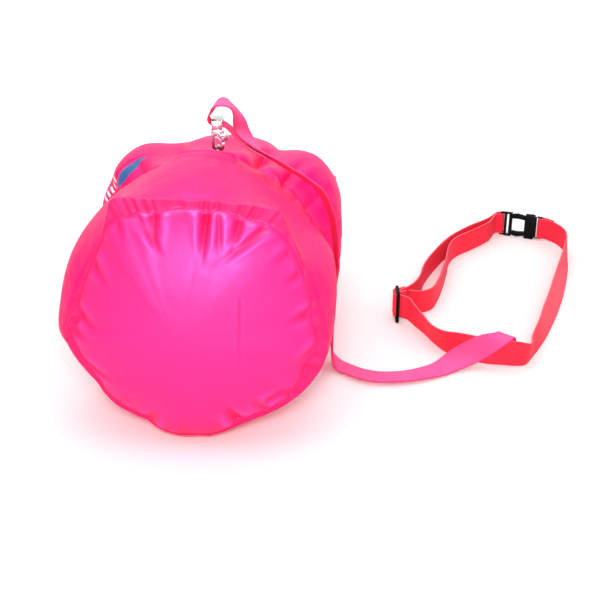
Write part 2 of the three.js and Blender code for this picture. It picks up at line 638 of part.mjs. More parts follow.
// the lower half of a circle, from -X round to +X
const lowerArc = (r, centreY, steps) => Array.from({ length: steps + 1 }, (_, i) => {
  const a = Math.PI + (Math.PI * i) / steps;
  return [r * Math.cos(a), centreY + r * Math.sin(a)];
});
function hookBody() {
  const outline = [...lowerArc(5.3, 215.7, 12), [5.3, 229.3], [4.2, 230.5], [-4.2, 230.5],
    [-5.3, 229.3]];
  const opening = [...lowerArc(2.7, 215.5, 10), [2.7, 224.5], [-2.7, 224.5]];
  const gateGap = box([2.5, 8], [217.8, 223.4], [-5, 5]);
  const gateSlot = box([2.3, 8], [217.8, 227.6], [-1.65, 1.65]);
  const stemHole = place(cylinder(1.75, 223, 232, 20), facingBack(vec(0, 0, 0)));
  return cut(prism(outline, [-2.4, 2.4]), prism(opening, [-5, 5]), gateGap, gateSlot,
    stemHole, onPivot(0.7, 6));
}
function hookGate() {
  const outline = [
    [2.9, 218.1], [5.1, 218.1], [5.6, 219.4], [7.9, 220.2], [8.4, 221.6], [7.9, 224.2],
    [6.4, 225.9], [5.0, 226.6], [3.6, 226.6], [3.0, 225.8], [3.3, 223.5], [3.3, 221], [2.9, 219.5],
  ];
  return cut(prism(outline, [-1.4, 1.4]), onPivot(0.76, 6));
}
// a leaf spring across the opening
function hookSpring() {
  const line = [[-2.35, 222.3], [-1.2, 222.6], [0.4, 221.4], [1.6, 220.0], [2.35, 219.2]];
  return strip(line.map(([x, y]) => [x, y, -1.1, x, y, 1.1]), 0.35, 2);
}
// flat-bar frame that takes the gathered webbing, with a headed stem
function swivelEye() {
  const BOTTOM = 231;
  const TOP = BOTTOM + 7.2;
  const BAR = 1.6;
  const block = box([-4.3, 4.3], [-9.3, 9.3], [BOTTOM, TOP]);
  const opening = box([-6, 6], [-7.6, 7.6], [BOTTOM + BAR, TOP - BAR]);
  const stem = turned(
    [[0, 223.6], [2.0, 223.6], [2.0, 224.3], [1.65, 224.3], [1.65, 231.6], [0, 231.6]], 20);
  return join(cut(block, opening), stem).translate(HOOK_X, HOOK_Y, 0);
}
addHookPart('snap_hook_body', hookBody(), 'nickel');
addHookPart('snap_hook_gate', hookGate(), 'nickel');
addHookPart('snap_hook_gate_pin', onPivot(0.64, 2.6), 'steel');
addHookPart('snap_hook_spring', hookSpring(), 'steel');
addLaid('swivel_eye', swivelEye(), 'nickel');

// ---------- leash webbing ----------
// the tail and the fold through the swivel eye: [x, z, y from HOOK_Y, half width, edge tilt]
const LEASH_TAIL = [
  [50, 204.4, -4, 12, 3.6], [44.5, 208.2, -3.5, 12, 3], [37, 212.2, -2.5, 12, 2.6],
  [30.5, 217.6, -1, 11.5, 1.2], [24.5, 223.4, 0, 10, 0], [18.5, 229.2, 0, 8, 0],
  [13.5, 233.4, 0, 6.8, 0], [8, 234.6, 0, 6.4, 0], [3.4, 234.7, 0, 6.4, 0],
  [1.3, 236.6, 0, 6.5, 0], [0.8, 239.6, 0, 7, 0],
];
// the loop above the eye and the run over the front chamber's shoulder, as strip() stations
const LEASH_SHOULDER = [
  [3, 46, 244.6, 2.6, 62, 243.4], [5.5, 44, 249.1, 4.6, 64, 247.5],
  [10.4, 43, 251.3, 8.7, 65.5, 251.6], [16.8, 42.6, 250.9, 13.9, 66.2, 252],
  [20.7, 42.5, 248.3, 18.9, 66.3, 247.3], [21.9, 42.7, 243.5, 24.2, 66.3, 241.9],
  [21.5, 43, 238, 29.6, 65.4, 234.7], [22.3, 43.6, 231.3, 32.9, 64.8, 226.1],
  [27.4, 42.6, 224.9, 36.2, 65.1, 219.2], [35, 40.4, 220, 40.8, 63.8, 213.4],
  [44.7, 37.9, 214.9, 43.4, 61.6, 207.3], [56.2, 35.7, 209.4, 53.3, 58.9, 200.7],
  [67.5, 33.8, 203.0, 63.4, 56.9, 194.6], [77.8, 32.4, 197.2, 72.9, 55.6, 189.4],
  [87.2, 32.0, 190.4, 81.7, 55.3, 183.3], [94.9, 32.3, 183.4, 89.1, 55.8, 177.1],
  [101.7, 34.0, 168.8, 95.9, 57.9, 164.0], [106.0, 36.5, 153.7, 100.4, 60.6, 150.3],
  [108.1, 39.6, 133.4, 103.3, 64.1, 131.6], [108.9, 42.8, 110.8, 105.9, 67.6, 110.5],
];
// down the chamber's side and out over the floor: [ax, a back, az, bx, b back, bz]
const LEASH_FLOOR = [
  [105.6, 108, 82, 103.6, 132.9, 82], [104.8, 113.5, 48, 103.4, 138.4, 48],
  [104.6, 117, 24, 103.8, 142, 23], [105.6, 118.5, 9, 105.6, 143.4, 9],
  [110, 116.5, 3.4, 112.5, 141.2, 2.2], [118, 108.5, 4.1, 122, 133, 1.2],
  [130, 99.5, 4.4, 134, 123.8, 1.2], [143, 95, 4.4, 147.5, 119.2, 1.2],
  [159, 94.5, 4.4, 161, 119.2, 1.2], [176, 97.5, 4.2, 174, 122.0, 1.2],
  [191, 103, 3.6, 186, 127, 1.4], [205, 110, 2.6, 199, 134, 2.6],
  [217, 118, 2.4, 208.5, 140, 7], [228, 122.5, 4.6, 217, 139.5, 15],
  [240, 125, 9, 228.5, 136.5, 24], [252.5, 125.5, 17.5, 241.5, 136, 31],
  [264, 127, 26.5, 252, 136.8, 32.4], [271.5, 132.0, 29.6, 258.5, 142.6, 30],
  [273.5, 136.0, 22, 261.5, 143.4, 17], [270.5, 136.4, 11, 257.5, 141.0, 6],
];
addLaid('leash_webbing_upper', strip([
  ...LEASH_TAIL.map(([x, z, y, half, tilt]) =>
    [x, HOOK_Y + y - half, z + tilt, x, HOOK_Y + y + half, z - tilt]),
  ...LEASH_SHOULDER,
]), 'webbing');
addLaid('leash_webbing_lower', strip([
  [108.9, 42.9, 110.1, 105.9, 67.7, 109.8],
  ...LEASH_FLOOR.map(([ax, aBack, az, bx, bBack, bz]) =>
    [ax, RIM_Y + aBack, az, bx, RIM_Y + bBack, bz]),
]), 'webbing');

export default float;
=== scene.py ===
"""Inflatable swim float with a dry bag through it, a waist belt and a leash.

The float lies on the floor with its axis along Y: the welded end panel faces -Y and the
rolled mouth of the bag is at +Y. The belt lies on the floor on the +X side.
Lengths are millimetres, except for the stage, lights and camera, which are in metres.
On the float, 'angle' is in degrees about the axis (0 is +X, 90 is up) and 'back' is the
distance behind the rim of the end panel, towards +Y.
"""
import math

import bmesh
import bpy
import numpy as np
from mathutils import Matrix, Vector


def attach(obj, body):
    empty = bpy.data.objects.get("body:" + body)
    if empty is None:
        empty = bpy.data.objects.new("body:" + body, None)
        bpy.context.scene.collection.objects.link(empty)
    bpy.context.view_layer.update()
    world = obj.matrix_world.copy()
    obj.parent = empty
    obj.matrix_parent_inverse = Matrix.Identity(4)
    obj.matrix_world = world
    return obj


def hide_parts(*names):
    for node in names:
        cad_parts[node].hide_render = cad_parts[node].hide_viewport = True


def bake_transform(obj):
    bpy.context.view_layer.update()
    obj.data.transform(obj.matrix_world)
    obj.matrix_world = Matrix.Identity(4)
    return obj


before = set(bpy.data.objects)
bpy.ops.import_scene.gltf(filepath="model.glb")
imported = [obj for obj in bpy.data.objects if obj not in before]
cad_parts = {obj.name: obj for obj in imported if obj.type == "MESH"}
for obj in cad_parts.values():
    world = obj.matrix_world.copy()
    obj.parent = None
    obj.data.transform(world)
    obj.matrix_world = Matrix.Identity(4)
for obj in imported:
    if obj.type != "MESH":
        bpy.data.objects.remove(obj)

MM = 0.001  # metres in a millimetre
AXIS_Z, RIM_Y = 105.0, -62.0
LENGTH, WAIST_BACK = 285.0, 141.0  # both chambers together, and the weld between them
WAIST_R, END_R = 94.9, 71.0
LINER_R = 66.0
ROLL_BACK, MOUTH_HALF = 331.5, 86.0  # centre of the rolled mouth, and half its width
WEB_WIDTH, WEB_THICK = 25.0, 1.6
LAY_ANGLE, LAY_X = 5.0, 7.0  # turn and shift of the belt and leash axes
VALVE_ANGLE, VALVE_BACKS = 215.0, (75.0, 197.0)
PATCH_ANGLE, PATCH_BACK = 84, 119
RING_X, RING_Y = 8.0, 54.0  # D-ring, in the belt and leash axes


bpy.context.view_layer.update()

# ---------------------------------------------------------------- sections of the float
# (angle, radius)
RIM = [
    (0, 107), (3.6, 105), (15.7, 103), (26.5, 105), (40.4, 111.8), (48, 117), (53, 123.5),
    (60, 116.5), (69.7, 109.4), (85.4, 103.8), (101.6, 106), (110, 110.8), (116, 115.5),
    (121, 105), (129, 94), (140.3, 88), (152.1, 85.5), (166.5, 86), (179, 91), (187, 96.5),
    (197, 93), (205, 90.5), (216, 89), (221, 91), (231, 92.5), (240, 91), (248, 90.5),
    (255, 95.5), (265, 97.5), (274, 96), (279, 97), (288, 95), (298, 92.8), (307, 94.6),
    (319, 99.5), (330, 104), (346, 110), (353, 111), (360, 107),
]
FRONT_MIDDLE = [
    (0, 112.4), (13.8, 115), (20.8, 115.5), (28.4, 111.5), (40.8, 107.3), (53.2, 106.5),
    (65.6, 110), (75.3, 113.5), (88.6, 114.5), (96.1, 112.8), (110.9, 107.5), (121.2, 105.5),
    (127.7, 105.5), (142.3, 105.3), (153.4, 107.3), (164.5, 109.5), (175.9, 111.7),
    (183.5, 114.8), (193.7, 119.6), (199.7, 121.5), (210, 121), (220, 119.5), (230, 117),
    (240, 113.6), (250, 111.6), (255, 109.8), (260, 108), (265, 106.8), (270, 106.4),
    (275, 106.8), (280, 108), (285, 109.8), (290, 111.8), (300, 113), (306, 114), (316, 116),
    (330, 116.5), (339, 116), (350, 113), (360, 112.4),
]
REAR_MIDDLE = [
    (0, 109.5), (11.7, 111), (20, 114.2), (28, 115.3), (36, 114.1), (42, 112.1), (47, 104.2),
    (52, 94.6), (58.8, 86.5), (66.6, 86), (75, 88), (83, 88.1), (90, 88.1), (98.4, 88.5),
    (107.7, 89), (113.3, 89.3), (118.2, 89.8), (123.7, 93), (129.4, 103.6), (135.3, 113.6),
    (143.3, 118.3), (149.5, 118), (154.5, 117.1), (160.8, 117), (166.5, 117.4), (180, 113.5),
    (200, 112), (215, 113), (230, 112), (240, 111.4), (250, 110.6), (255, 109.2), (260, 107.6),
    (265, 106.4), (270, 106), (275, 106.4), (280, 107.6), (285, 109.2), (290, 110.8),
    (300, 112), (310, 112.6), (325, 113), (340, 111), (360, 109.5),
]
# (back, extra height)
BRIDGE = [(60, 0), (75, 0.5), (88, 4.5), (96, 12), (102, 10), (105, 0)]
# (back, then the shares of rim, front middle, waist, rear middle and end)
SECTION_MIX = [
    (0, 1, 0, 0, 0, 0), (8, 0.72, 0.28, 0, 0, 0), (25, 0.3, 0.7, 0, 0, 0),
    (45, 0.06, 0.94, 0, 0, 0), (60, 0, 1, 0, 0, 0), (75, 0, 0.96, 0.04, 0, 0),
    (88, 0, 0.78, 0.22, 0, 0), (96, 0, 0.38, 0.62, 0, 0), (102, 0, 0.07, 0.93, 0, 0),
    (105, 0, 0, 1, 0, 0), (126, 0, 0, 1, 0, 0), (153, 0, 0, 1, 0, 0),
    (162, 0, 0, 0.62, 0.38, 0), (174, 0, 0, 0.24, 0.76, 0), (188, 0, 0, 0.04, 0.96, 0),
    (202, 0, 0, 0, 1, 0), (220, 0, 0, 0, 0.97, 0.03), (238, 0, 0, 0, 0.8, 0.2),
    (254, 0, 0, 0, 0.56, 0.44), (268, 0, 0, 0, 0.32, 0.68), (278, 0, 0, 0, 0.12, 0.88),
    (285, 0, 0, 0, 0, 1),
]
# (angle, back from, back to, depth, half width in degrees, drift in degrees per 10 mm)
CREASES = [
    # behind the waist
    (66, 143, 212, 8.0, 3.6, -0.5), (48.5, 143, 190, 5.5, 2.2, -0.6),
    (113, 143, 222, 6.0, 4.2, 0.9), (131, 143, 176, 3.0, 3.0, 1.2),
    (152, 143, 190, 3.5, 3.0, 0.2), (172, 143, 186, 3.0, 3.2, 0),
    (30, 143, 180, 3.0, 2.2, -0.2), (10, 143, 186, 4.0, 3.0, 0), (350, 143, 184, 3.5, 3.0, 0),
    (330, 143, 188, 4.0, 3.0, 0.2), (310, 143, 180, 3.5, 3.0, 0), (190, 143, 186, 4.0, 3.0, 0),
    (212, 143, 180, 3.0, 3.0, 0), (232, 143, 180, 3.0, 3.0, 0), (84, 143, 168, 1.2, 3.0, 0),
    (97, 143, 166, 1.2, 3.0, 0),
    # in front of the waist
    (40, 92, 139, 2.4, 2.0, -0.3), (57, 90, 139, 3.0, 2.4, 0.4), (72, 94, 139, 2.2, 2.2, 0),
    (104, 96, 139, 2.0, 2.4, 0), (122, 92, 139, 2.6, 2.4, -0.3), (140, 94, 139, 2.6, 2.4, 0),
    (158, 92, 139, 2.6, 2.4, 0), (176, 94, 139, 2.6, 2.4, 0), (195, 92, 139, 2.6, 2.4, 0),
    (22, 94, 139, 2.4, 2.2, 0), (4, 92, 139, 2.6, 2.4, 0), (344, 94, 139, 2.6, 2.4, 0),
    (322, 92, 139, 2.6, 2.4, 0),
    # at the rear end, from (angle, depth)
    *[(angle, 246, 284, depth, 4.0, 0) for angle, depth in (
        (20, 3.2), (55, 3.0), (96, 3.4), (133, 3.2), (170, 3.0), (205, 3.4), (238, 3.0),
        (300, 3.0), (338, 3.2))],
]
# creases round the rear chamber's shoulder:
# (angle, back, lean in mm per degree, depth, width, spread in degrees)
SHOULDER_CREASES = [(38, 168, 0.25, 1.8, 2.6, 11.0), (140, 176, -0.3, 1.2, 3.0, 13.0)]
# hollows behind the rim: (angle from, rise, angle to, fall, depth, back, width)
RIM_TUCKS = [(190, 12, 232, 14, 8.0, 20, 15.0), (288, 10, 330, 14, 3.0, 18, 14.0)]

ANGLE_STEP = 0.5
ANGLES = np.arange(0, 360, ANGLE_STEP)
BACKS = np.arange(-20, 306, 1.0)
BRIDGE_BACKS = np.arange(40, 130, 0.5)
OCTAVES = ((1, 1.0), (2.3, 0.5), (5.1, 0.25))  # (frequency, strength)


def blurred(values, sigma, reach, ends):
    """Gaussian blur over samples; 'ends' is the numpy padding mode."""
    weights = np.exp(-0.5 * (np.arange(-reach, reach + 1) / sigma) ** 2)
    padded = np.pad(values, reach, mode=ends)
    return np.convolve(padded, weights / weights.sum(), "same")[reach:-reach]


def blurred_turn(values, sigma_degrees):
    sigma = sigma_degrees / ANGLE_STEP
    return blurred(values, sigma, int(sigma * 3) + 1, "wrap")


def section(table, sigma_degrees):
    angles, radii = np.array(table, float).T
    return blurred_turn(np.interp(ANGLES, angles, radii), sigma_degrees)


def at_angle(values, angle):
    return np.interp(angle, ANGLES, values, period=360)


def wrap(angle):
    return (angle + 180) % 360 - 180


def smooth(x):
    x = np.clip(x, 0, 1)
    return x * x * (3 - 2 * x)


def bell(x, width, power=2):
    return np.exp(-np.abs(x / width) ** power)


def window(x, start, end, soft):
    """1 between start and end, with edges centred on them."""
    return smooth((x - start) / soft + 0.5) * smooth((end - x) / soft + 0.5)


def span(x, start, rise, end, fall):
    """Rises from start and falls from end."""
    return smooth((x - start) / rise) * (1 - smooth((x - end) / fall))


def furrow(across, half, power, ridge, ridge_at, ridge_width):
    """Cross section of a crease: a groove with a low ridge on each side."""
    beside = bell(np.abs(across) - ridge_at * half, ridge_width * half)
    return bell(across, half, power) - ridge * beside


def ripple(x, seed):
    """Smooth seeded unevenness made of sines."""
    rng = np.random.default_rng(seed)
    total = np.zeros_like(np.asarray(x, float))
    for frequency, strength in OCTAVES:
        first, second, third = rng.uniform(0, 6.28, 3)
        waves = (np.sin(frequency * x + first) + 0.6 * np.sin(1.37 * frequency * x + second)
                 + 0.4 * np.sin(2.11 * frequency * x + third))
        total += strength * waves / 2
    return total


RIM_SECTION = section(RIM, 1.3)
FRONT_SECTION = section(FRONT_MIDDLE, 4.0)
REAR_SECTION = section(REAR_MIDDLE, 2.6)
MIX_BACKS, *MIX_COLUMNS = np.array(SECTION_MIX, float).T
MIX_SHARES = [blurred(np.interp(BACKS, MIX_BACKS, column), 4.0, 12, "edge")
              for column in MIX_COLUMNS]
BRIDGE_HEIGHTS = blurred(np.interp(BRIDGE_BACKS, *np.array(BRIDGE, float).T, 0, 0),
                         3.6, 10, "constant")


def section_radius(angle, back):
    """Radius from the sections alone, held close to the rim's outline in the first 9 mm."""
    rim = at_angle(RIM_SECTION, angle)
    sections = (rim, at_angle(FRONT_SECTION, angle), WAIST_R, at_angle(REAR_SECTION, angle), END_R)
    wall = sum(np.interp(back, BACKS, share) * radius
               for share, radius in zip(MIX_SHARES, sections))
    from_rim = back / 9.0
    hold = smooth(1 - from_rim)
    held = rim + (wall - rim) * np.clip(from_rim, 0, 1)
    return wall * (1 - hold) + held * hold


def film_radius(angle, back):
    angle, back = np.broadcast_arrays(np.asarray(angle, float), np.asarray(back, float))
    turn = np.mod(angle, 360)
    radians = np.radians(angle)
    wall = section_radius(angle, back)
    # extra height over the top, in front of the anchor patch
    wall = wall + np.interp(back, BRIDGE_BACKS, BRIDGE_HEIGHTS) * span(turn, 70, 7, 99, 9)
    # the anchor zone of the D-ring stays smooth
    calm = 1 - bell(wrap(angle - PATCH_ANGLE), 17.0, 4) * window(back, 100, 136, 10)
    for center, start, end, depth, half, drift in CREASES:
        across = wrap(angle - center - drift * (back - start) / 10.0)
        along = window(back, start - 6, end, 0.55 * (end - start))
        line = furrow(across, half, power=1.25, ridge=0.32, ridge_at=2.3, ridge_width=1.3)
        wall = wall - depth * along * line * calm
    # waist weld: a groove all round, with small puckers beside it
    from_waist = back - WAIST_BACK
    wall = wall - 2.0 * bell(from_waist, 2.2) * calm
    wall = wall - 0.8 * bell(from_waist, 13.0) * (1 + ripple(radians * 17, 3)) * calm
    for center, start, lean, depth, width, spread in SHOULDER_CREASES:
        across = wrap(angle - center)
        wall = wall - depth * bell(back - start - lean * across, width) * bell(across, spread, 4)
    for start, rise, end, fall, depth, center, width in RIM_TUCKS:
        tuck = span(turn, start, rise, end, fall)
        wall = wall - depth * tuck * bell(back - center, width) * smooth(back / 5)
    # light drawing-in of the wall just behind the welded rim
    wall = wall - 0.55 * bell(back - 10, 10.0) * ripple(radians * 13, 5) * smooth(back / 4)
    # broad unevenness of the film
    wall = wall + 0.5 * ripple(radians * 3 + back / 37.0, 9) * smooth(back / 30)
    # shallow round pockets of the valves, measured along a wall of radius 112
    for valve_back in VALVE_BACKS:
        away = np.hypot(np.radians(wrap(angle - VALVE_ANGLE)) * 112, back - valve_back)
        wall = wall - 2.4 * smooth((14.5 - away) / 3.0)
    return wall


def skin(angle, back, lift=0.0):
    """Points on the film, raised from it by 'lift'."""
    radius = film_radius(angle, back) + lift
    radians = np.radians(angle)
    z = AXIS_Z + radius * np.sin(radians)
    # the film lies flat where it touches the floor, with a soft edge
    soft, limit = 0.7, 12
    z = np.where(z < limit, soft * np.log1p(np.exp(np.minimum(z, limit) / soft)), z)
    y = RIM_Y + np.asarray(back, float)
    return np.stack(np.broadcast_arrays(radius * np.cos(radians), y, z), -1)


# ---------------------------------------------------------------- materials
class Nodes:
    """Short ways to add and join shader nodes in one node tree."""

    def __init__(self, tree):
        self.tree = tree

    def feed(self, socket, value):
        """Gives a socket a number, a colour or vector, or a link from another socket."""
        if isinstance(value, (int, float)):
            socket.default_value = value
        elif isinstance(value, tuple):
            socket.default_value = (*value, 1)[:len(socket.default_value)]
        else:
            self.tree.links.new(value, socket)

    def add(self, kind, **settings):
        """A new node; each setting is an input if the node has one of that name."""
        node = self.tree.nodes.new("ShaderNode" + kind)
        for name, value in settings.items():
            if name in node.inputs:
                self.feed(node.inputs[name], value)
            else:
                setattr(node, name, value)
        return node

    def math(self, operation, *values, clamp=False):
        node = self.add("Math", operation=operation, use_clamp=clamp)
        for socket, value in zip(node.inputs, values):
            self.feed(socket, value)
        return node.outputs[0]

    def times(self, value, factor, clamp=False):
        return self.math("MULTIPLY", value, factor, clamp=clamp)

    def mix(self, share, color, other):
        node = self.add("Mix", data_type="RGBA")
        for index, value in ((0, share), (6, color), (7, other)):
            self.feed(node.inputs[index], value)
        return node.outputs[2]

    def tint(self, color, target, mask, strength, clamp=False):
        """Moves a colour towards the target by mask times strength."""
        return self.mix(self.times(mask, strength, clamp), color, target)

    def layered(self, height, *layers):
        """Adds (value, weight) layers to a height."""
        for value, weight in layers:
            height = self.math("ADD", height, self.times(value, weight))
        return height

    def noise(self, vector, scale, detail, roughness=0.5):
        node = self.add("TexNoise", Scale=scale, Detail=detail, Roughness=roughness, Vector=vector)
        return node.outputs[0]

    def separate(self, vector):
        return self.add("SeparateXYZ", Vector=vector).outputs


class Material(Nodes):
    """A new material built on its Principled BSDF."""

    def __init__(self, name):
        self.material = bpy.data.materials.new(name)
        self.material.use_nodes = True
        super().__init__(self.material.node_tree)
        self.surface = self.tree.nodes["Principled BSDF"]
        coordinates = self.add("TexCoord").outputs
        self.object, self.uv = coordinates["Object"], coordinates["UV"]

    def bump(self, height, strength, distance):
        node = self.add("Bump", Strength=strength, Distance=distance, Height=height)
        return node.outputs["Normal"]

    def finish(self, values):
        """Sets the surface inputs and returns the material."""
        for name, value in values.items():
            self.feed(self.surface.inputs[name], value)
        return self.material


def film_material(name, body, edge, deep, roughness=0.46, weld=False):
    """Glossy coated film with painted shade: 'edge' shows at grazing angles and 'deep' in hollows.

    With weld on, the 'relief' attribute of the end panel paints shade into fold grooves and
    highlight onto fold ridges, and the 'flange' attribute tints the flange darker.
    """
    mat = Material(name)
    facing = mat.add("LayerWeight", Blend=0.42).outputs["Facing"]
    slow = mat.noise(mat.object, scale=14.0, detail=4.0, roughness=0.55)
    medium = mat.noise(mat.object, scale=95.0, detail=5.0, roughness=0.6)
    fine = mat.noise(mat.object, scale=1500.0, detail=3.0, roughness=0.6)
    # painted shade: the colour turns to 'edge' at grazing angles
    color = mat.mix(mat.math("POWER", facing, 1.5, clamp=True), body, edge)
    # painted shade: hollows and creases darken towards 'deep' by ambient occlusion
    occlusion = mat.add("AmbientOcclusion", Distance=0.03, samples=6).outputs["AO"]
    occluded_shade = mat.math("SUBTRACT", 1.0, occlusion, clamp=True)
    color = mat.tint(color, deep, occluded_shade, strength=1.15, clamp=True)
    if weld:
        # painted shade in the fold grooves and painted highlight on the fold ridges, from the
        # 'relief' attribute
        relief = mat.add("Attribute", attribute_name="relief").outputs["Fac"]
        color = mat.tint(color, deep, relief, strength=-0.85, clamp=True)
        color = mat.tint(color, (0.98, 0.07, 0.42), relief, strength=0.8, clamp=True)
        flange = mat.add("Attribute", attribute_name="flange").outputs["Fac"]
        color = mat.tint(color, deep, flange, strength=0.75, clamp=True)
    else:
        # painted light: upward-facing film is lighter, as if lit from above
        normal = mat.separate(mat.add("NewGeometry").outputs["Normal"])
        upward = mat.math("POWER", mat.math("MAXIMUM", normal[2], 0.0), 2.0)
        color = mat.tint(color, (0.98, 0.034, 0.21), upward, strength=0.85, clamp=True)
    color = mat.tint(color, edge, slow, strength=0.22)
    # scrim under the coating, then grain and slow ripples; the UV map is in metres
    scrim_pitch = 0.0011
    along, across, _ = mat.separate(mat.add("Mapping", Vector=mat.uv).outputs["Vector"])
    wave_along, wave_across = [
        mat.math("SINE", mat.times(position, 2 * math.pi / scrim_pitch))
        for position in (along, across)]
    scrim = mat.times(mat.math("ADD", wave_along, wave_across), 0.012)
    height = mat.layered(scrim, (fine, 0.09), (medium, 0.75), (slow, 1.4))
    normal = mat.bump(height, strength=0.5, distance=0.0009)
    return mat.finish({
        "Base Color": color,
        "Roughness": mat.math("MULTIPLY_ADD", medium, 0.16, roughness - 0.06),
        "Metallic": 0.10,
        "Subsurface Weight": 0.12,
        "Subsurface Radius": (1.0, 0.25, 0.45),
        "Subsurface Scale": 0.004,
        "Coat Roughness": 0.25,
        "Coat Tint": (1.0, 0.75, 0.95),
        "Sheen Tint": (1.0, 0.45, 0.85),
        "Specular IOR Level": 0.24 if weld else 0.09,
        "Specular Tint": (1.0, 0.48, 0.80) if weld else (1.0, 0.28, 0.62),
        "Normal": normal,
        "Coat Normal": normal,
    })


def webbing_material(name, base, light, deep):
    """Flat woven webbing, with painted sheen in the 'light' colour on upward faces and at grazing
    angles. UV is arc length and distance across, both in metres.
    """
    yarn_pitch, pick_pitch = 0.00128, 0.00165
    selvedge_from = 0.0108  # distance from the middle line
    mat = Material(name)
    along, across, _ = mat.separate(mat.uv)
    column = mat.math("FLOOR", mat.math("DIVIDE", across, yarn_pitch))
    yarn = mat.math("ABSOLUTE", mat.math("SINE", mat.times(across, math.pi / yarn_pitch)))
    # each yarn's picks are a quarter pitch on from the last
    shift = mat.times(column, math.pi * 0.5)
    phase = mat.math("ADD", mat.times(along, 2 * math.pi / pick_pitch), shift)
    pick = mat.math("MULTIPLY_ADD", mat.math("SINE", phase), 0.5, 0.5)
    weave = mat.times(mat.math("POWER", yarn, 0.7), mat.math("MULTIPLY_ADD", pick, 0.6, 0.4))
    fine = mat.noise(mat.uv, scale=2600.0, detail=3.0, roughness=0.7)
    slow = mat.noise(mat.object, scale=34.0, detail=3.0, roughness=0.5)
    outside = mat.math("SUBTRACT", mat.math("ABSOLUTE", across), selvedge_from, clamp=True)
    selvedge = mat.math("SMOOTH_MIN", mat.times(outside, 900.0, clamp=True), 1.0)
    facing = mat.add("LayerWeight", Blend=0.35).outputs["Facing"]
    gaps = mat.math("SUBTRACT", 1.0, weave, clamp=True)
    color = mat.tint(base, deep, gaps, strength=0.42)
    # painted sheen: upward faces are lighter, in slow patches, as if they reflected the bright
    # ceiling
    normal = mat.separate(mat.add("NewGeometry").outputs["True Normal"])
    upward = mat.math("MULTIPLY_ADD", normal[2], 1.25, -0.12, clamp=True)
    upward = mat.times(upward, mat.math("MULTIPLY_ADD", slow, 0.9, 0.45))
    color = mat.tint(color, light, upward, strength=0.85, clamp=True)
    color = mat.tint(color, light, fine, strength=0.05)
    color = mat.tint(color, deep, selvedge, strength=0.10)
    # painted sheen: lighter at grazing angles
    color = mat.tint(color, light, facing, strength=0.08, clamp=True)
    height = mat.layered(weave, (fine, 0.35), (slow, 0.5))
    return mat.finish({
        "Base Color": color,
        "Roughness": 0.7,
        "Sheen Weight": 0.05,
        "Sheen Roughness": 0.45,
        "Sheen Tint": (1.0, 0.28, 0.78),
        "Specular IOR Level": 0.22,
        "Specular Tint": (1.0, 0.45, 0.85),
        "Subsurface Weight": 0.08,
        "Subsurface Radius": (1.0, 0.2, 0.3),
        "Subsurface Scale": 0.002,
        "Normal": mat.bump(height, strength=0.55, distance=0.00028),
    })


def plastic_material(name, base, worn, roughness, specular=0.5):
    """Moulded plastic with a fine grain and slightly polished edges."""
    mat = Material(name)
    grain = mat.noise(mat.object, scale=3200.0, detail=2.0, roughness=0.5)
    slow = mat.noise(mat.object, scale=60.0, detail=4.0, roughness=0.6)
    pointiness = mat.add("NewGeometry").outputs["Pointiness"]
    edge = mat.math("SUBTRACT", pointiness, 0.53, clamp=True)
    color = mat.tint(base, worn, edge, strength=9.0, clamp=True)
    return mat.finish({
        "Base Color": mat.tint(color, worn, slow, strength=0.3),
        "Roughness": mat.math("MULTIPLY_ADD", slow, 0.18, roughness - 0.08),
        "Specular IOR Level": specular,
        "Normal": mat.bump(grain, strength=0.28, distance=0.00006),
    })


def metal_material(name, base, roughness, brushed=0.0):
    """Metal with fine scratches, drawn out along Z where it is brushed."""
    mat = Material(name)
    stretch = mat.add("Mapping", Scale=(1, 1, 0.12 if brushed else 1), Vector=mat.object)
    scratch = mat.noise(stretch.outputs["Vector"], scale=2600.0, detail=4.0, roughness=0.7)
    slow = mat.noise(mat.object, scale=160.0, detail=3.0)
    darker = tuple(channel * 0.72 for channel in base)
    return mat.finish({
        "Base Color": mat.tint(base, darker, slow, strength=0.3),
        "Metallic": 1.0,
        "Roughness": mat.math("MULTIPLY_ADD", scratch, 0.14 + brushed, roughness),
        "Normal": mat.bump(scratch, strength=0.2, distance=0.00005),
    })


def ink_material(name, base):
    mat = Material(name)
    speckle = mat.noise(mat.object, scale=420.0, detail=4.0, roughness=0.7)
    faded = tuple(channel * 0.8 + 0.05 for channel in base)
    return mat.finish({
        "Base Color": mat.tint(base, faded, speckle, strength=0.25),
        "Roughness": 0.42,
        "Normal": mat.bump(speckle, strength=0.2, distance=0.0001),
    })


# 'edge' is painted shade at grazing angles and 'deep' painted shade in hollows and fold grooves
FILM = film_material("coated_film", body=(0.98, 0.007, 0.185), edge=(0.98, 0.007, 0.125),
                     deep=(0.93, 0.004, 0.085))
PANEL_FILM = film_material("end_panel_film", body=(0.98, 0.019, 0.205), edge=(0.98, 0.017, 0.135),
                           deep=(0.90, 0.002, 0.075), roughness=0.45, weld=True)
BAG_FILM = film_material("bag_film", body=(0.90, 0.020, 0.14), edge=(0.90, 0.026, 0.11),
                         deep=(0.72, 0.004, 0.06), roughness=0.44)
PATCH_FILM = film_material("patch_film", body=(0.97, 0.024, 0.15), edge=(0.97, 0.028, 0.12),
                           deep=(0.85, 0.004, 0.07), roughness=0.42)
